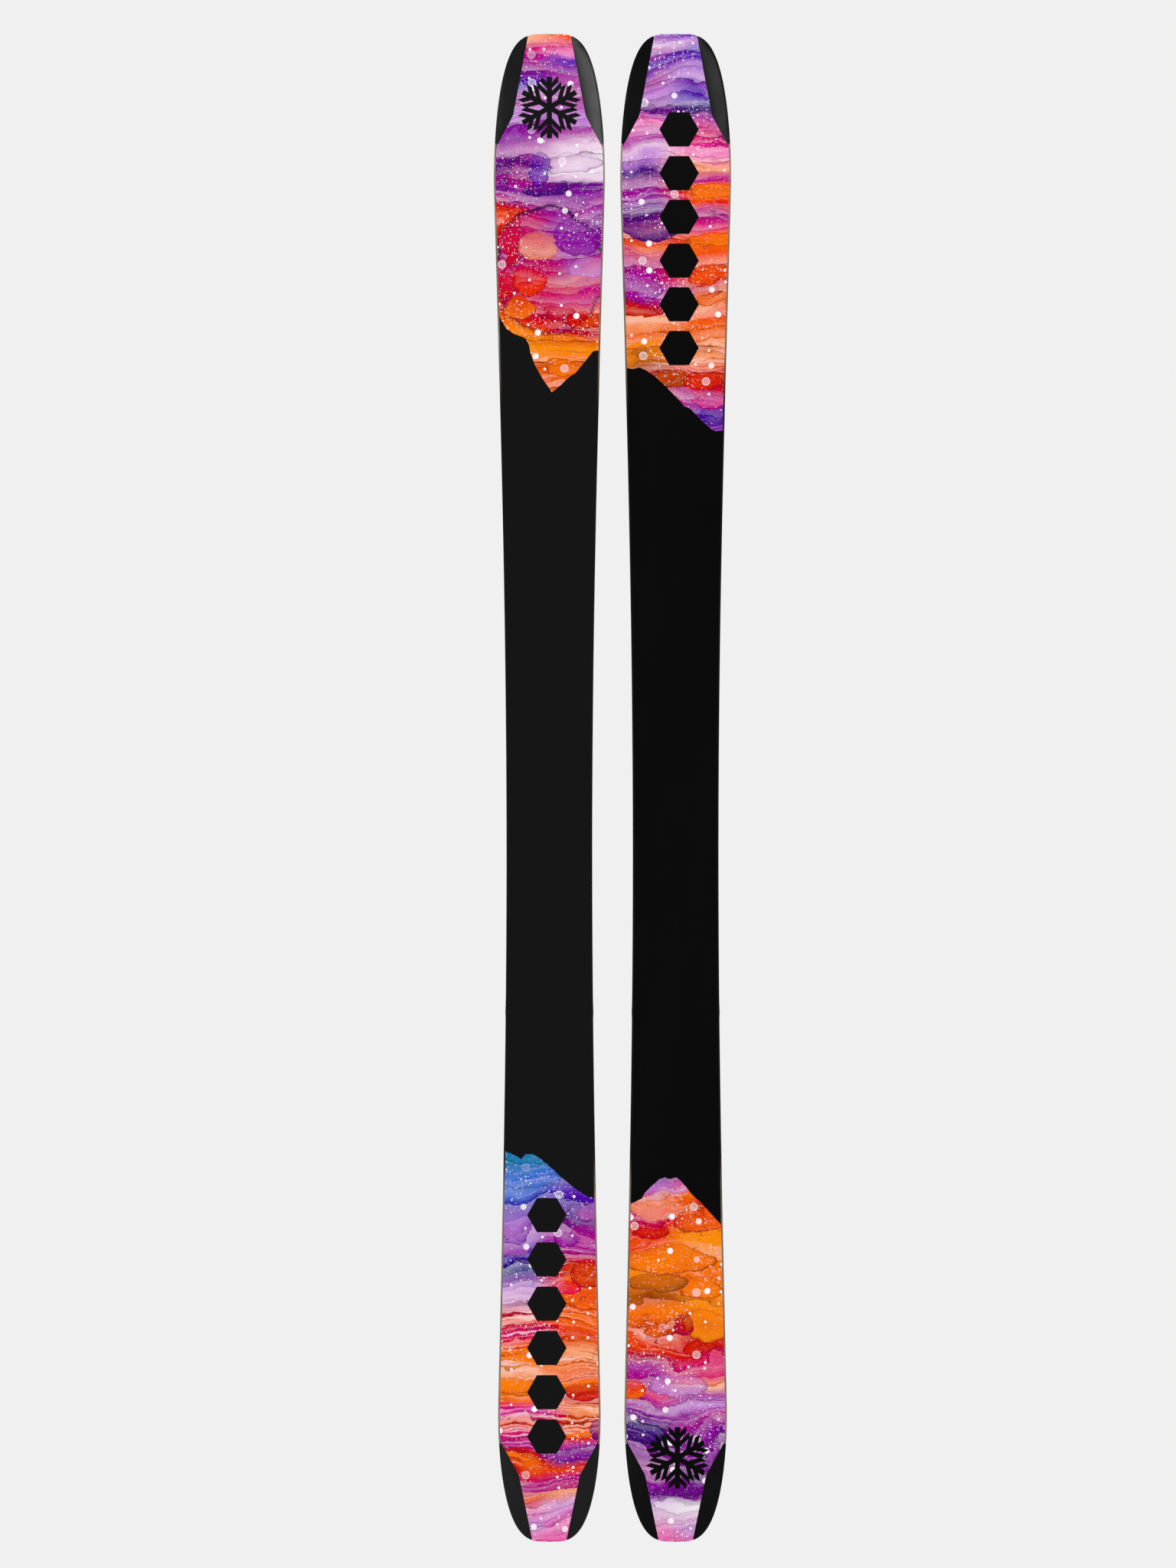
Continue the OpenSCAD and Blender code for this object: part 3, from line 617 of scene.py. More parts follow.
def sidewall_plastic():
    """Phenol sidewall: black, with grinding lines along the ski."""
    paint = Paint("phenol_sidewall")
    lines = paint.noise(paint.vector(paint.x * 900.0, paint.y * 2400.0, paint.z * 12.0), 1.0, 3.0)
    shade = paint.mix(lines, (0.006, 0.006, 0.006, 1), (0.020, 0.020, 0.021, 1))
    return paint.finish(shade, lines * 0.2 + 0.38, specular=0.3, bump=lines, depth=0.00003)


def ash_core():
    """Wood core: stringers glued side by side, grain along the ski."""
    paint = Paint("wood_core")
    stringer = (paint.x * 70.0).floor()
    grain = paint.noise(paint.vector(paint.x * 420.0, stringer * 3.0, paint.z * 6.0), 1.0, 4.0, 0.6)
    shade = paint.ramp(grain, ((0.3, (0.33, 0.19, 0.09, 1)), (0.7, (0.62, 0.43, 0.24, 1))))
    return paint.finish(shade, 0.6, bump=grain, depth=0.00005)


def laminate_weave():
    """Glass laminate: greenish resin over a woven cloth."""
    paint = Paint("glass_laminate")
    warp = ((paint.x + paint.z) * 900.0).fract()
    weft = ((paint.x - paint.z) * 900.0).fract()
    weave = (warp - 0.5).abs().max((weft - 0.5).abs())
    shade = paint.ramp(weave, ((0.2, (0.28, 0.30, 0.20, 1)), (0.8, (0.50, 0.52, 0.38, 1))))
    return paint.finish(shade, 0.35, bump=weave, depth=0.00003)


def insert_plastic(side):
    """End inserts: satin black with fine grain; the left ski's have the higher sheen."""
    specular = 0.21 if side == "left" else 0.07
    return moulded(side + "_insert_plastic", grey(0.001), 0.34, 1400.0, 0.00002, specular, 0.01)


# Meshes --------------------------------------------------------------------------------------


def end_round(t, power):
    """Share of the half width left in a rounded end, t from 0 at its widest to 1 at the very end."""
    return max(0.0, 1 - t * t) ** power


def sidecut(u):
    """Share of the widening from the waist, at 0, to the widest place, at 1."""
    return 1 - (1 - min(1.0, u) ** 1.9) ** 1.15


def half_width(z):
    if z > TIP_WIDE_Z:
        return TIP_HALF * end_round((z - TIP_WIDE_Z) / (TIP_Z - TIP_WIDE_Z), 0.26)
    if z < TAIL_WIDE_Z:
        return TAIL_HALF * end_round((TAIL_WIDE_Z - z) / (TAIL_WIDE_Z - TAIL_Z), 0.30)
    if z > WAIST_Z:
        return WAIST_HALF + (TIP_HALF - WAIST_HALF) * sidecut((z - WAIST_Z) / (TIP_WIDE_Z - WAIST_Z))
    return WAIST_HALF + (TAIL_HALF - WAIST_HALF) * sidecut((WAIST_Z - z) / (WAIST_Z - TAIL_WIDE_Z))


def ease(s):
    t = min(1.0, max(0.0, s))
    return t * t * (3 - 2 * t)


def base_height(z):
    if z > CONTACT:
        return TIP_RISE * ((z - CONTACT) / (TIP_Z - CONTACT)) ** 2.3
    if z < -CONTACT:
        return TAIL_RISE * ((-CONTACT - z) / (-CONTACT - TAIL_Z)) ** 2.2
    return CAMBER * (1 - ease((abs(z) - FLAT_HALF) / (CONTACT - FLAT_HALF)))


def thickness(z):
    reach = TIP_Z if z > 0 else -TAIL_Z
    return END_T + (WAIST_T - END_T) * (1 - ease((abs(z) - FLAT_HALF) / (reach - FLAT_HALF)))


def between(z, line):
    """Straight-line value at z through (z, value) points."""
    if z <= line[0][0]:
        return line[0][1]
    for (z0, v0), (z1, v1) in zip(line, line[1:]):
        if z <= z1:
            return v0 + (v1 - v0) * (z - z0) / (z1 - z0)
    return line[-1][1]


def insert_line(z):
    """Half width of the strip between the end inserts."""
    if z > TIP_INSERT_LINE[0][0]:
        return between(z, TIP_INSERT_LINE)
    if z < TAIL_INSERT_LINE[-1][0]:
        return between(z, TAIL_INSERT_LINE)
    return 1.0


def stations(low, high, step):
    """Places along the ski: even steps, and closer ones where an end is rounded."""
    found = [low, high]
    first, last = max(low, TAIL_WIDE_Z), min(high, TIP_WIDE_Z)
    count = int((last - first) / step)
    for i in range(count + 1):
        found.append(first + (last - first) * i / max(1, count))
    for i in range(1, 60):
        turn = math.sin(math.radians(90 * i / 60))
        found.append(TIP_WIDE_Z + (TIP_Z - TIP_WIDE_Z) * turn)
        found.append(TAIL_WIDE_Z - (TAIL_WIDE_Z - TAIL_Z) * turn)
    kept = sorted(z for z in found if low <= z <= high)
    return [z for i, z in enumerate(kept) if i == 0 or z - kept[i - 1] > 1e-6]


def shade_smooth(mesh):
    """Smooth shading, with sharp edges kept where faces meet at more than 35 degrees."""
    for face in mesh.polygons:
        face.use_smooth = True
    mesh.set_sharp_from_angle(angle=math.radians(35))


def mesh_piece(name, vertices, faces, material):
    """Object from vertices and faces, with its doubles merged and its faces turned outwards."""
    mesh = bpy.data.meshes.new(name)
    mesh.from_pydata([Vector(v) for v in vertices], [], faces)
    mesh.validate()
    work = bmesh.new()
    work.from_mesh(mesh)
    bmesh.ops.remove_doubles(work, verts=work.verts, dist=1e-6)
    bmesh.ops.recalc_face_normals(work, faces=work.faces)
    work.to_mesh(mesh)
    work.free()
    piece = bpy.data.objects.new(name, mesh)
    bpy.context.scene.collection.objects.link(piece)
    piece.data.materials.append(material)
    shade_smooth(mesh)
    return piece


def settle(piece, side, body, node):
    """Attaches a piece to the body it rides on and hides the CAD node that it stands for."""
    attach(piece, side + "_" + body)
    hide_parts(side + "_" + node)


def loft(rings):
    """Vertices and faces of a closed solid through rings of equal count, with flat ends."""
    size = len(rings[0])
    vertices = [v for ring in rings for v in ring]
    faces = [tuple(range(size)), tuple(range((len(rings) - 1) * size, len(rings) * size))]
    for i in range(len(rings) - 1):
        for j in range(size):
            a, b = i * size + j, i * size + (j + 1) % size
            faces.append((a, b, b + size, a + size))
    return vertices, faces


def join_solids(parts):
    """Vertices and faces of several solids as one."""
    vertices, faces = [], []
    for more_vertices, more_faces in parts:
        start = len(vertices)
        vertices += more_vertices
        faces += [tuple(start + i for i in face) for face in more_faces]
    return vertices, faces


def strip_half(z, margin):
    """Half width of a layer that lies between the end inserts, and a margin inside the outline."""
    beside = margin if TAIL_INSERT_Z < z < TIP_INSERT_Z else 0.0
    return max(NARROWEST, min(half_width(z) - beside, insert_line(z)))


def plate_rings(centre, margin, low, high, chamfer=0.0):
    """Rings of a full-length layer between two levels above the base."""
    rings = []
    for z in stations(TAIL_Z + NARROWEST, TIP_Z - NARROWEST, STEP):
        w = strip_half(z, margin)
        y0, y1 = base_height(z) + low(z), base_height(z) + high(z)
        c = min(chamfer, w * 0.5)
        ring = [(centre - w, y0, z), (centre + w, y0, z)]
        if chamfer:
            ring += [(centre + w, y1 - c * 0.6, z), (centre + w - c, y1, z),
                     (centre - w + c, y1, z), (centre - w, y1 - c * 0.6, z)]
        else:
            ring += [(centre + w, y1, z), (centre - w, y1, z)]
        rings.append(ring)
    return rings


def printed_piece(side, name, sheet, rings):
    """Full-length layer whose halves before and behind the boot centre have their own prints."""
    piece = mesh_piece(side + "_" + name, *loft(rings), ski_print(side, "tip", sheet))
    piece.data.materials.append(ski_print(side, "tail", sheet))
    for face in piece.data.polygons:
        face.material_index = int(face.center.z < 0)
    return piece


def make_base(side):
    rings = plate_rings(SKI_X[side], EDGE_W, lambda z: 0.0, lambda z: BASE_T)
    piece = printed_piece(side, "base_sheet", "base", rings)
    settle(piece, side, "ski", "base")


def make_topsheet(side):
    rings = plate_rings(SKI_X[side], 0.0, lambda z: thickness(z) - TOPSHEET_T, thickness, 0.5 * MM)
    piece = printed_piece(side, "top_sheet", "top", rings)
    settle(piece, side, "ski", "topsheet")


def strip_pair(side, width, low, high, lean=0.0):
    """A strip along each edge of the ski; lean draws their upper corners inwards."""
    strips = []
    for hand in (-1, 1):
        rings = []
        for z in stations(TAIL_INSERT_Z, TIP_INSERT_Z, STEP):
            w = half_width(z)
            y0, y1 = base_height(z) + low(z), base_height(z) + high(z)
            rings.append([(SKI_X[side] + hand * x, y, z) for x, y in
                          ((w - width, y0), (w, y0), (w - lean, y1), (w - width, y1))])
        strips.append(loft(rings))
    return join_solids(strips)


def make_edges(side, material):
    strips = strip_pair(side, EDGE_W, lambda z: 0.0, lambda z: EDGE_T)
    piece = mesh_piece(side + "_steel_edges", *strips, material)
    settle(piece, side, "ski", "edges")


def make_sidewalls(side, material):
    strips = strip_pair(side, SIDEWALL_W, lambda z: EDGE_T, lambda z: thickness(z) - COVER_T, THIN)
    piece = mesh_piece(side + "_side_walls", *strips, material)
    settle(piece, side, "ski", "sidewalls")


def insert_rings(centre, hand, places):
    """Bevelled insert: the lower face rises outwards in a rounded slope."""
    rings = []
    for z in places:
        x_in = insert_line(z)
        x_out = max(half_width(z), x_in + THIN)
        span = x_out - x_in
        low, high = base_height(z), base_height(z) + thickness(z)
        rise = INSERT_BEVEL * min(1.0, span / (12 * MM))
        ring = [(x_in, low)]
        for share in (0.08, 0.3, 0.55, 0.8, 0.94):
            ring.append((x_in + span * share, low + rise * share ** 1.4))
        ring += [(x_out, low + rise * 1.15), (x_out, high - 2 * THIN),
                 (x_out - min(2 * THIN, span / 2), high), (x_in, high)]
        rings.append([(centre + hand * x, y, z) for x, y in ring])
    return rings


def make_inserts(side, material):
    ends = ((TIP_INSERT_LINE[0][0] + 1 * MM, TIP_Z), (TAIL_Z, TAIL_INSERT_LINE[-1][0] - 1 * MM))
    parts = []
    for low, high in ends:
        places = [z for z in stations(low, high, STEP / 2) if half_width(z) > insert_line(z) + 0.2 * MM]
        parts += [loft(insert_rings(SKI_X[side], hand, places)) for hand in (-1, 1)]
    piece = mesh_piece(side + "_end_caps", *join_solids(parts), material)
    settle(piece, side, "ski", "end_inserts")


# Binding pieces, drawn in millimetres: x from the ski's centre line, h above its deck, z along it


RIM = ((0.0, 1.0), (0.134, 0.5), (0.5, 0.134), (1.0, 0.0))     # quarter circle: level, inset
RUNNING = 0.06                                                 # clearance round turning pins
WING_X, WING_Z, WING_BORE = 25, 168, 2.5 + RUNNING
TOE_BORE_R, TOE_BORE_H = 9.6, 22
AXLE_H, AXLE_Z, AXLE_BORE = 24, -212, 3 + RUNNING
LEVER_H, LEVER_Z, LEVER_PIN = 50, -218, 3.0
HEEL_BORE_R, HEEL_BORE_H = 9.0, 47
PEDAL_H, PEDAL_Z, PEDAL_PIN = 14, -112, 2.5
ARM_AXIS = Vector((0.935, 0.342, 0.092))
ARM_PIVOT = Vector((36, 18, -100))
ARM_BEND = Vector((45.5, 29, -117))
ARM_END = Vector((48, 23, -180))
WIRE_R = 2.5


def bend_corner(before, corner, after, radius, steps=4):
    """Points that round one corner of an outline or a path."""
    cut = min(radius, 0.45 * (before - corner).length, 0.45 * (after - corner).length)
    first = corner + (before - corner).normalized() * cut
    last = corner + (after - corner).normalized() * cut
    shares = [i / steps for i in range(steps + 1)]
    return [first * (1 - t) ** 2 + corner * (2 * t * (1 - t)) + last * t ** 2 for t in shares]


def rounded(points, radius):
    """Closed outline with rounded corners; radius is one number, or one for each corner."""
    corners = [Vector(p) for p in points]
    radii = radius if isinstance(radius, list) else [radius] * len(corners)
    found = []
    for i, corner in enumerate(corners):
        found += bend_corner(corners[i - 1], corner, corners[(i + 1) % len(corners)], max(radii[i], 0.03))
    return found


def circle(u, v, radius, count=32):
    angles = [math.tau * i / count for i in range(count)]
    return [Vector((u + radius * math.cos(a), v + radius * math.sin(a))) for a in angles]


def ridged(first, last, count, depth):
    """Points of a ridged stretch of an outline; the grooves lie to the right of the way along it."""
    first, last = Vector(first), Vector(last)
    step = (last - first) / count
    down = Vector((step.y, -step.x)).normalized() * depth
    found = []
    for i in range(count):
        start = first + step * i
        found += [start + step * 0.1, start + step * 0.25 + down]
        found += [start + step * 0.65 + down, start + step * 0.8]
    return found


def inset(corners, distance):
    """Polygon whose sides lie a distance inside the given one's."""
    count = len(corners)
    area = sum(corners[i - 1].cross(corners[i]) for i in range(count))
    inward = distance if area > 0 else -distance
    found = []
    for i, corner in enumerate(corners):
        before = (corner - corners[i - 1]).normalized()
        after = (corners[(i + 1) % count] - corner).normalized()
        side_a, side_b = Vector((-before.y, before.x)), Vector((-after.y, after.x))
        found.append(corner + (side_a + side_b) * (inward / max(0.3, 1 + side_a.dot(side_b))))
    return found


def slab(corners, low, high, rim, axes, radius=None):
    """Solid from an outline between two levels, with rounded rims and, given a radius, rounded
    corners. axes names what the outline's two numbers and the level are, such as "hzx" for a side
    view extruded across the ski."""
    corners = [Vector(p) for p in corners]
    if rim:
        levels = [(low + rim * level, rim * share) for level, share in RIM]
        levels += [(high - rim * level, rim * share) for level, share in reversed(RIM)]
    else:
        levels = [(low, 0.0), (high, 0.0)]
    place = [axes.index(name) for name in "xhz"]
    rings = []
    for level, distance in levels:
        ring = inset(corners, distance)
        if radius is not None:
            radii = radius if isinstance(radius, list) else [radius] * len(ring)
            ring = rounded(ring, [max(r - distance, 0.03) for r in radii])
        rings.append([tuple((p.x, p.y, level)[i] for i in place) for p in ring])
    return loft(rings)


def rectangle(u, v):
    return [(u[0], v[0]), (u[1], v[0]), (u[1], v[1]), (u[0], v[1])]


def box_solid(x, h, z):
    return slab(rectangle(x, h), z[0], z[1], 0, "xhz")


def mirrored(solid):
    vertices, faces = solid
    return [(-x, h, z) for x, h, z in vertices], faces


def both(solid):
    """The solid together with its mirror image across the ski's centre line."""
    return join_solids([solid, mirrored(solid)])


def tube(path, radii, sides=14):
    """Round solid along a path; radii is one radius, or one for each point."""
    rings = []
    across = None
    for i, point in enumerate(path):
        way = (path[min(i + 1, len(path) - 1)] - path[max(i - 1, 0)]).normalized()
        across = way.orthogonal() if across is None else across - way * across.dot(way)
        across.normalize()
        other = way.cross(across)
        radius = radii[i] if isinstance(radii, list) else radii
        rings.append([tuple(point + across * p.x + other * p.y) for p in circle(0, 0, radius, sides)])
    return loft(rings)


def solid_piece(side, name, material, adds, cuts=()):
    """One closed piece: the first solid, joined with the others, less the cuts."""
    def to_frame(solid):
        return [(SKI_X[side] + x * MM, DECK_Y + h * MM, z * MM) for x, h, z in solid[0]], solid[1]

    piece = mesh_piece(side + "_" + name, *to_frame(adds[0]), material)
    tools = []
    for kind, solids in (("UNION", adds[1:]), ("DIFFERENCE", cuts)):
        for solid in solids:
            tool = mesh_piece(side + "_tool", *to_frame(solid), material)
            join = piece.modifiers.new(kind, "BOOLEAN")
            join.operation = kind
            join.solver = "EXACT"
            join.object = tool
            tools.append(tool)
    if tools:
        bpy.context.view_layer.update()
        ready = piece.evaluated_get(bpy.context.evaluated_depsgraph_get())
        mesh = bpy.data.meshes.new_from_object(ready)
        piece.modifiers.clear()
        piece.data = mesh
        for tool in tools:
            bpy.data.objects.remove(tool)
        shade_smooth(mesh)
    return piece


def make_toe_plate(side, material):
    plate = slab(rectangle((-30, 30), (108, 232)), 0, 6, 1.2, "xzh", 7)
    rest = slab([(5, 112), (19, 112), (19, 124), (14.9, 124), (14.9, 119), (11, 119), (11, 139),
                 (14.9, 139), (14.9, 134), (19, 134), (19, 146), (5, 146)], -26, 26, 0.5, "hzx", 0.8)
    boss = slab(circle(WING_X, WING_Z, 7.3), 5, 18.4, 0.8, "xzh")
    window = slab(rectangle((-22, 22), (150, 157)), 3, 7, 0, "xzh", 3)
    piece = solid_piece(side, "toe_base_plate", material, [plate, rest, both(boss)], [window])
    settle(piece, side, "ski", "toe_plate")


def housing_section(z):
    """Cross-section of the toe housing at a place along the ski, lower and narrower at its nose."""
    top = between(z, ((158, 35), (164, 39), (172, 40), (196, 40), (212, 37.5), (226, 34.5),
                      (232, 32.6)))
    half = between(z, ((158, 16.4), (164, 17), (200, 17), (232, 14.6)))
    return rounded([(-half, 5.5), (half, 5.5), (half, top), (-half, top)], [0, 0, 7, 7])


def make_toe_housing(side, material):
    stops = (158, 159.5, 164, 172, 184, 196, 204, 212, 219, 226, 230.5, 232)
    rings = []
    for z in stops:
        ring = inset(housing_section(z), 1.2 if z in (stops[0], stops[-1]) else 0.0)
        rings.append([(p.x, p.y, z) for p in ring])
    ears = slab([(-32, 161), (32, 161), (32, 175), (21, 175), (17, 178), (-17, 178), (-21, 175),
                 (-32, 175)], 37.6, 42, 1.2, "xzh", 3.5)
    groove = join_solids([slab(rectangle((h, h + 2.4), (180, 224)), 16.1, 19, 0, "hzx", 1.1)
                          for h in (10, 15, 20)])
    bore = slab(circle(0, TOE_BORE_H, TOE_BORE_R, 48), 165, 240, 0, "xhz")
    window = slab(rectangle((-4, 4), (186, 204)), 28, 46, 0, "xzh", 2.5)
    piece = solid_piece(side, "toe_shell", material, [loft(rings), ears], [both(groove), bore, window])
    settle(piece, side, "ski", "toe_housing")


def make_toe_wing(side, hand, material):
    hub = slab(circle(WING_X, WING_Z, 6.8), 18.6, 37.4, 0.8, "xzh")
    blade = slab([(20, 166), (20, 158), (27, 152), (34, 140), (37.5, 128), (42, 129), (43.5, 136),
                  (37, 158), (30.5, 171)], 18.6, 37.4, 1.4, "xzh", 4)
    neck = slab([(27.6, 152), (34.6, 140), (38, 128.8), (41.6, 129.6), (42.9, 136), (36.4, 156.2),
                 (25.5, 156.2)], 36, 43, 0.6, "xzh", 3)
    lip = slab([(14, 156), (14, 150), (22, 143), (31, 133), (37.5, 128), (42, 129), (43.5, 136),
                (37, 157)], 41.5, 46, 1.5, "xzh", 3.5)
    bore = slab(circle(WING_X, WING_Z, WING_BORE), 10, 60, 0, "xzh")
    solids = [hub, blade, neck, lip, bore]
    if hand == "left":
        solids = [mirrored(solid) for solid in solids]
    piece = solid_piece(side, "toe_jaw_" + hand, material, solids[:4], solids[4:])
    node = "toe_wing_" + hand
    settle(piece, side, node + "_jaw", node)


def coil_spring(side, name, material, height, radius, wire, turns, low, high):
    """Coil spring along the ski, its last turn at each end wound close."""
    steps = turns * 20
    path = []
    for i in range(steps + 1):
        share = i / steps
        rise = ease((share - 0.08) / 0.84) * 0.25 + min(1.0, max(0.0, (share - 0.08) / 0.84)) * 0.75
        turn = math.tau * turns * share
        path.append(Vector((radius * math.cos(turn), height + radius * math.sin(turn),
                            low + wire + (high - low - 2 * wire) * rise)))
    return solid_piece(side, name, material, [tube(path, wire, 10)])


def make_toe_spring(side, material):
    """Toe spring: its front end stays on the setting screw; the coil rides on the ski and keeps its
    length.
    """
    low, high, stroke = 173.1, 213.9, 6.0
    piece = coil_spring(side, "toe_coil", material, TOE_BORE_H, 6.6, 1.3, 7, low, high)
    settle(piece, side, "ski", "toe_spring")
    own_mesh(piece)


def make_heel_spring(side, material):
    piece = coil_spring(side, "heel_coil", material, HEEL_BORE_H, 6.4, 1.4, 8, -222, -166.1)
    settle(piece, side, "heel_head", "heel_spring")


def make_toe_pad(side, material):
    top = slab([(19.15, 113.4), (21.6, 113), *reversed(ridged((22, 144), (22, 114), 9, 0.6)), (21.6, 145),
                (19.15, 144.6)], -26, 26, 0.2, "hzx")
    stem = box_solid((-19, 19), (14.5, 19.4), (124.15, 133.85))
    foot = box_solid((-19, 19), (11.15, 14.75), (119.15, 138.85))
    piece = solid_piece(side, "glide_pad", material, [top, stem, foot])
    settle(piece, side, "toe_glide", "toe_pad")


def make_heel_track(side, material):
    plate = slab(rectangle((-29, 29), (-300, -152)), 0, 4, 1.0, "xzh", 8)
    rail = slab([(-9, 3), (9, 3), (9, 9), (13, 9), (13, 13), (-13, 13), (-13, 9), (-9, 9)],
                -298, -154, 0.6, "xhz", 0.5)
    rack = join_solids([box_solid((-4, 4), (11.6, 14), (z, z + 2.5)) for z in range(-293, -213, 5)])
    piece = solid_piece(side, "heel_rail", material, [plate, rail], [rack])
    settle(piece, side, "ski", "heel_track")


def make_heel_cup(side, material):
    body = slab([(28, -196), (28, -165), (26, -162), (26, -153.5), (54.5, -153.5), (54.5, -141),
                 (57, -138), (61, -141), (66, -158), (68, -180), (68, -198), (64, -218), (60, -228),
                 (46, -228), (30, -221), (16, -212.5), (16, -208)], -22, 22, 2.6, "hzx", 5)
    hub = slab(circle(AXLE_H, AXLE_Z, 9.4), -22, 22, 0.8, "hzx")
    pins = both(slab(circle(LEVER_H, LEVER_Z, LEVER_PIN), 20, 26.6, 0.5, "hzx"))
    axle = slab(circle(AXLE_H, AXLE_Z, AXLE_BORE), -29, 29, 0, "hzx")
    bore = slab(circle(0, HEEL_BORE_H, HEEL_BORE_R, 48), -235, -166, 0, "xhz")
    notch = slab(rectangle((-8, 8), (27, 40)), -164, -150, 0, "xhz", 2)
    scoop = slab([(34, -204), (46, -206), (58, -190), (60, -166), (34, -166)], 20.6, 24, 0, "hzx", 5)
    piece = solid_piece(side, "heel_jaw", material, [body, hub, pins], [axle, bore, notch, both(scoop)])
    settle(piece, side, "heel_head", "heel_cup")


def make_heel_lever(side, material):
    arm = slab([(54.2, -213.9), (45.8, -222.1), (84.5, -259.5), (91.5, -252.5)],
               22.4, 27, 1.0, "hzx", [0, 0, 3, 3])
    boss = slab(circle(LEVER_H, LEVER_Z, 7), 22.4, 27, 0.8, "hzx")
    ridges = ridged((79, -240), (90.5, -251.5), 6, 0.9)
    grip = slab([(71, -246), (78, -239), *ridges, (91.5, -252.5), (84.5, -259.5)],
                -26.5, 26.5, 0.25, "hzx")
    bore = slab(circle(LEVER_H, LEVER_Z, LEVER_PIN + RUNNING), -30, 30, 0, "hzx")
    piece = solid_piece(side, "step_out_lever", material, [both(arm), both(boss), grip], [bore])
    settle(piece, side, "heel_lever_arm", "heel_lever")


def make_brake_base(side, material):
    plate = slab(rectangle((-33, 33), (-150, -84)), 0, 8, 1.5, "xzh", 7)
    cheek = slab([(6, -149), (24, -149), (24, -93), (6, -93)], 18, 33, 1.4, "hzx", [0, 5, 5, 0])
    pin = slab(circle(PEDAL_H, PEDAL_Z, PEDAL_PIN + RUNNING), -21, 21, 0, "hzx")
    stub = tube([ARM_PIVOT - ARM_AXIS * 13, ARM_PIVOT + ARM_AXIS * 4], WIRE_R + RUNNING, 24)
    piece = solid_piece(side, "brake_bracket", material, [plate, both(cheek)], [pin, both(stub)])
    settle(piece, side, "ski", "brake_base")


def make_brake_pedal(side, material):
    tread = ridged((23.4, -56), (23.4, -104), 12, 1.1)
    paddle = slab([(13, -116), (9.3, -110), (16, -84), (18, -52), (19.5, -49.4), (22, -48.4),
                   (23.4, -52), *tread, (23.4, -117)], -17, 17, 0.3, "hzx")
    barrel = slab(circle(PEDAL_H, PEDAL_Z, 5), -17, 17, 0.8, "hzx")
    pin = slab(circle(PEDAL_H, PEDAL_Z, PEDAL_PIN), -20.5, 20.5, 0.4, "hzx")
    piece = solid_piece(side, "brake_paddle", material, [paddle, barrel, pin])
    settle(piece, side, "pedal", "brake_pedal")


def make_brake_arm(side, hand, wire_look, foot_look):
    """Bent steel wire, and the plastic foot moulded round its end."""
    stub = ARM_PIVOT - ARM_AXIS * 12.5
    path = [stub, *bend_corner(stub, ARM_PIVOT, ARM_BEND, 2.6, 6),
            *bend_corner(ARM_PIVOT, ARM_BEND, ARM_END, 6.0, 8), ARM_END]
    wire = tube(path, WIRE_R)
    # The foot swells a little in its middle and has ridges round it
    count = 24
    places = [ARM_BEND + (ARM_END - ARM_BEND) * (0.60 + 0.46 * i / count) for i in range(count + 1)]
    radii = [3.25 + 0.45 * (i % 2) * (4 < i < 20) + 0.10 * math.sin(math.pi * i / count)
             for i in range(count + 1)]
    radii[0], radii[-1] = 2.9, 2.2
    foot = tube(places, radii, 20)
    if hand == "left":
        wire, foot = mirrored(wire), mirrored(foot)
    for name, solid, look, slot in (("brake_wire_", wire, wire_look, "brake_steel"),
                                    ("brake_foot_", foot, foot_look, "foot_plastic")):
        piece = solid_piece(side, name + hand, look, [solid])
        settle(piece, side, "arm_" + hand, "brake_arm_" + hand)


# Stage ---------------------------------------------------------------------------------------

PAGE = 0.871                  # linear grey of the plain page behind the skis
VIEW_HEIGHT = 1828.9 * MM     # height of the upright picture
VIEW_X = -28.6 * MM           # its middle lies left of the skis' middle, and a little higher
VIEW_RISE = 4.5 * MM
VIEW_AWAY = 6.0


def make_camera():
    """Straight-on camera without perspective, facing the running bases."""
    data = bpy.data.cameras.new("camera")
    data.type = "ORTHO"
    data.ortho_scale = VIEW_HEIGHT
    data.clip_end = 5 * VIEW_AWAY
    camera = bpy.data.objects.new("camera", data)
    camera.location = (VIEW_X, -VIEW_AWAY, (TIP_Z + TAIL_Z) / 2 + VIEW_RISE)
    camera.rotation_euler = (math.radians(90), 0, 0)
    bpy.context.scene.collection.objects.link(camera)
    bpy.context.scene.camera = camera


def make_light(name, place, target, size, power):
    data = bpy.data.lights.new(name, "AREA")
    data.shape = "RECTANGLE"
    data.size, data.size_y = size
    data.energy = power
    lamp = bpy.data.objects.new(name, data)
    lamp.location = place
    lamp.rotation_euler = (Vector(target) - Vector(place)).to_track_quat("-Z", "Y").to_euler()
    bpy.context.scene.collection.objects.link(lamp)


def make_world():
    """Even soft light, and the plain page behind the object."""
    world = bpy.data.worlds.new("studio")
    world.use_nodes = True
    nodes, links = world.node_tree.nodes, world.node_tree.links
    nodes.clear()
    seen, fill = nodes.new("ShaderNodeBackground"), nodes.new("ShaderNodeBackground")
    seen.inputs[0].default_value = grey(PAGE)
    fill.inputs[0].default_value = grey(0.40)
    path, mix = nodes.new("ShaderNodeLightPath"), nodes.new("ShaderNodeMixShader")
    out = nodes.new("ShaderNodeOutputWorld")
    links.new(path.outputs["Is Camera Ray"], mix.inputs[0])
    links.new(fill.outputs[0], mix.inputs[1])
    links.new(seen.outputs[0], mix.inputs[2])
    links.new(mix.outputs[0], out.inputs[0])
    bpy.context.scene.world = world


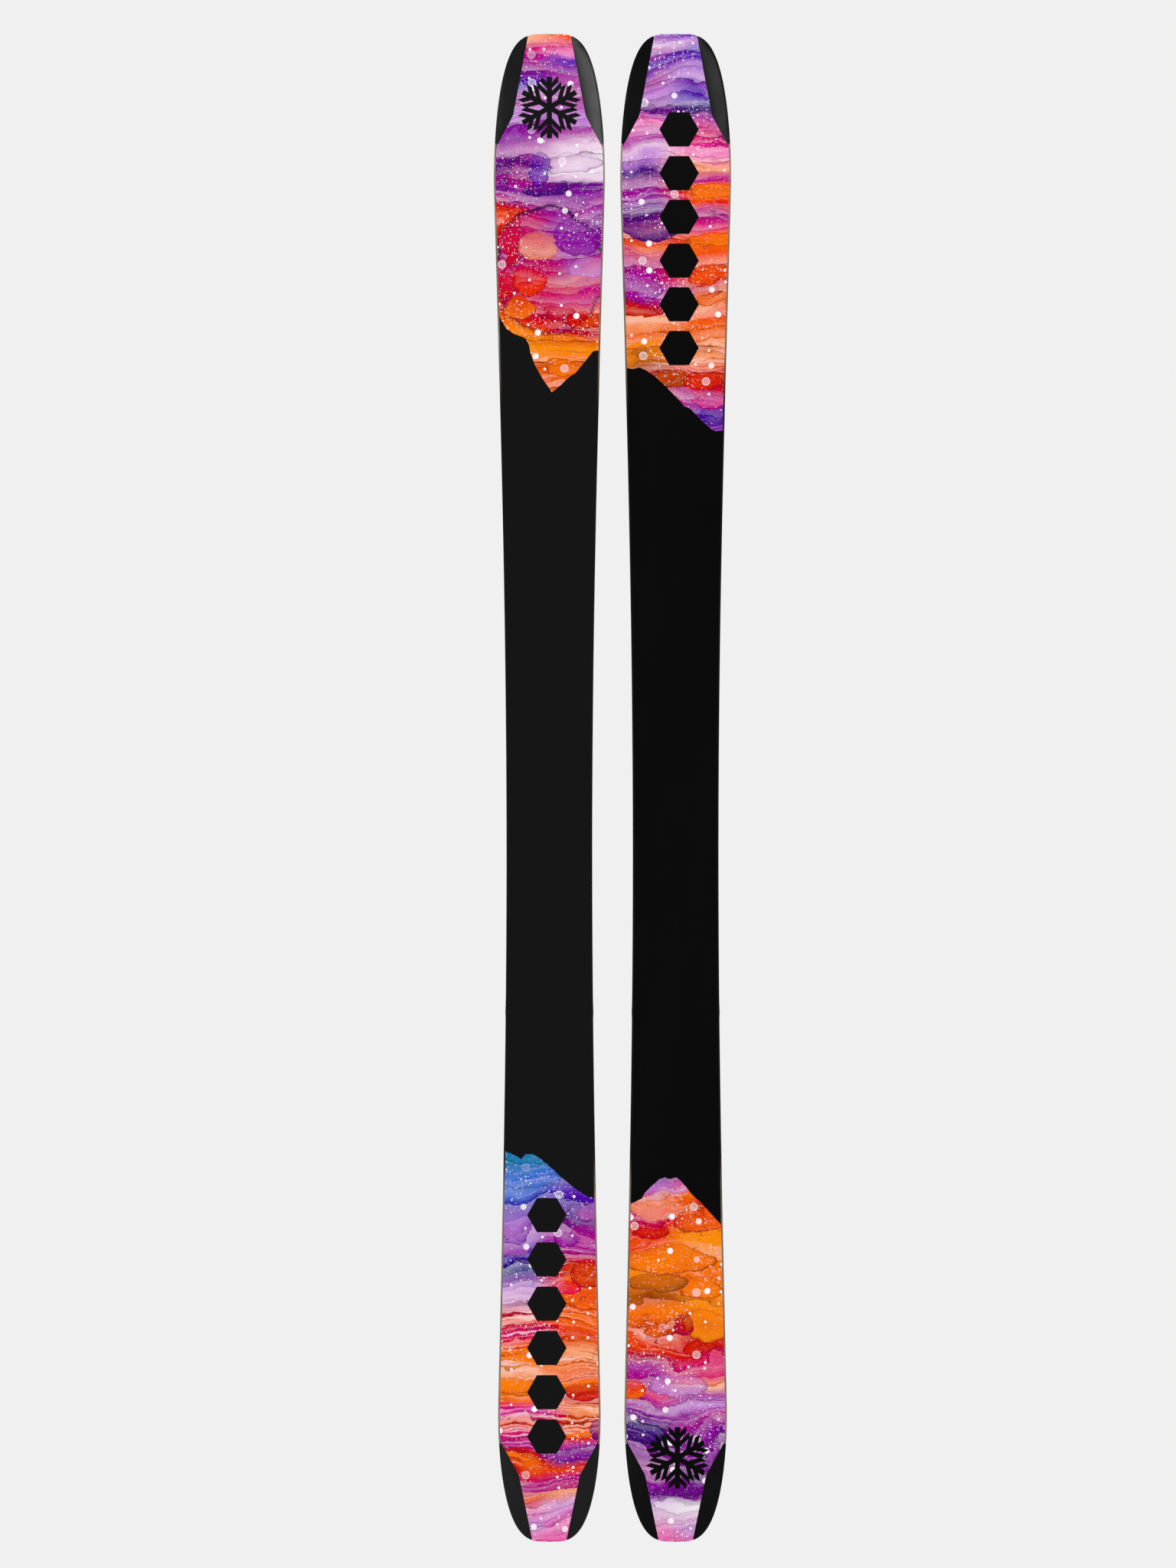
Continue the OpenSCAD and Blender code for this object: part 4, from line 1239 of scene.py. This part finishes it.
def make_floor():
    """Pale floor under the tails, round and fading out towards its rim."""
    paint = Paint("pale_floor")
    dust = paint.noise(paint.coords, 3.0, 3.0)
    material = paint.finish(paint.mix(dust, grey(0.91), grey(0.95)), 0.8, specular=0.1)
    distance_squared = paint.x * paint.x + paint.y * paint.y
    put(paint.tree, paint.shader.inputs["Alpha"], distance_squared.step(4.5, 0.1))
    ring = [(p.x, p.y, TAIL_Z - 0.5 * MM) for p in circle(0, 0, 4.0, 72)]
    mesh_piece("floor", ring, [tuple(range(len(ring)))], material)


def make_lights():
    """Soft lights before and behind the skis, and two that give the end inserts their sheen."""
    middle, tip, tail = (0, 0, 0.1), (0, 0, 0.9), (0, 0, -0.75)
    make_light("soft_left", (-2.6, -2.6, 1.6), middle, (1.6, 2.4), 33)
    make_light("soft_right", (2.6, -2.6, 1.6), middle, (1.6, 2.4), 30)
    make_light("soft_back", (0.6, 3.4, 2.0), middle, (2.4, 1.6), 60)
    make_light("tip_sheen", (1.15, -2.2, 2.45), tip, (0.9, 0.9), 36)
    make_light("tail_sheen", (-1.5, -2.2, -0.5), tail, (0.6, 0.5), 16)


# Build ---------------------------------------------------------------------------------------

make_camera()
make_world()
make_floor()
make_lights()
bpy.context.scene.view_settings.view_transform = "Standard"
bpy.context.scene.view_settings.look = "None"

steel = metal("bright_steel", (0.60, 0.60, 0.62, 1), 0.28)
black_steel = metal("oiled_spring", (0.30, 0.30, 0.32, 1), 0.35)
brass = metal("yellow_brass", (0.70, 0.46, 0.16, 1), 0.30)
anodised = metal("dark_anodised", (0.055, 0.057, 0.064, 1), 0.42)
cast = metal("cast_carriage", (0.10, 0.102, 0.11, 1), 0.5, scale=200.0, stretch=2.0)
glide = metal("glide_plate", (0.72, 0.73, 0.75, 1), 0.25, along=0)
plate = moulded("plate_plastic", (0.020, 0.020, 0.022, 1), 0.5)
shell = moulded("shell_plastic", (0.045, 0.047, 0.055, 1), 0.36, 700.0, 0.00003, 0.45)
jaw = moulded("jaw_plastic", (0.014, 0.014, 0.016, 1), 0.48)
powder = moulded("powder_coat", (0.030, 0.030, 0.034, 1), 0.45, 1300.0, 0.00006, 0.4)

NODE_LOOKS = {
    "laminates": laminate_weave(), "core": ash_core(), "binding_screws": steel, "toe_pivot_pins": steel,
    "toe_piston": steel, "toe_setting_screw": brass, "heel_carriage": cast, "length_screw": steel,
    "heel_axle": steel, "heel_setting_screw": brass,
}
edge_look, wall_look = edge_steel(), sidewall_plastic()

for side in SIDES:
    make_base(side)
    make_topsheet(side)
    make_edges(side, edge_look)
    make_sidewalls(side, wall_look)
    make_inserts(side, insert_plastic(side))
    make_toe_plate(side, plate)
    make_toe_housing(side, shell)
    make_toe_spring(side, black_steel)
    make_toe_pad(side, glide)
    make_heel_track(side, anodised)
    make_heel_cup(side, shell)
    make_heel_spring(side, black_steel)
    make_heel_lever(side, powder)
    make_brake_base(side, plate)
    make_brake_pedal(side, jaw)
    for hand in SIDES:
        make_toe_wing(side, hand, jaw)
        make_brake_arm(side, hand, steel, jaw)
    for node, look in NODE_LOOKS.items():
        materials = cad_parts[side + "_" + node].data.materials
        materials.clear()
        materials.append(look)
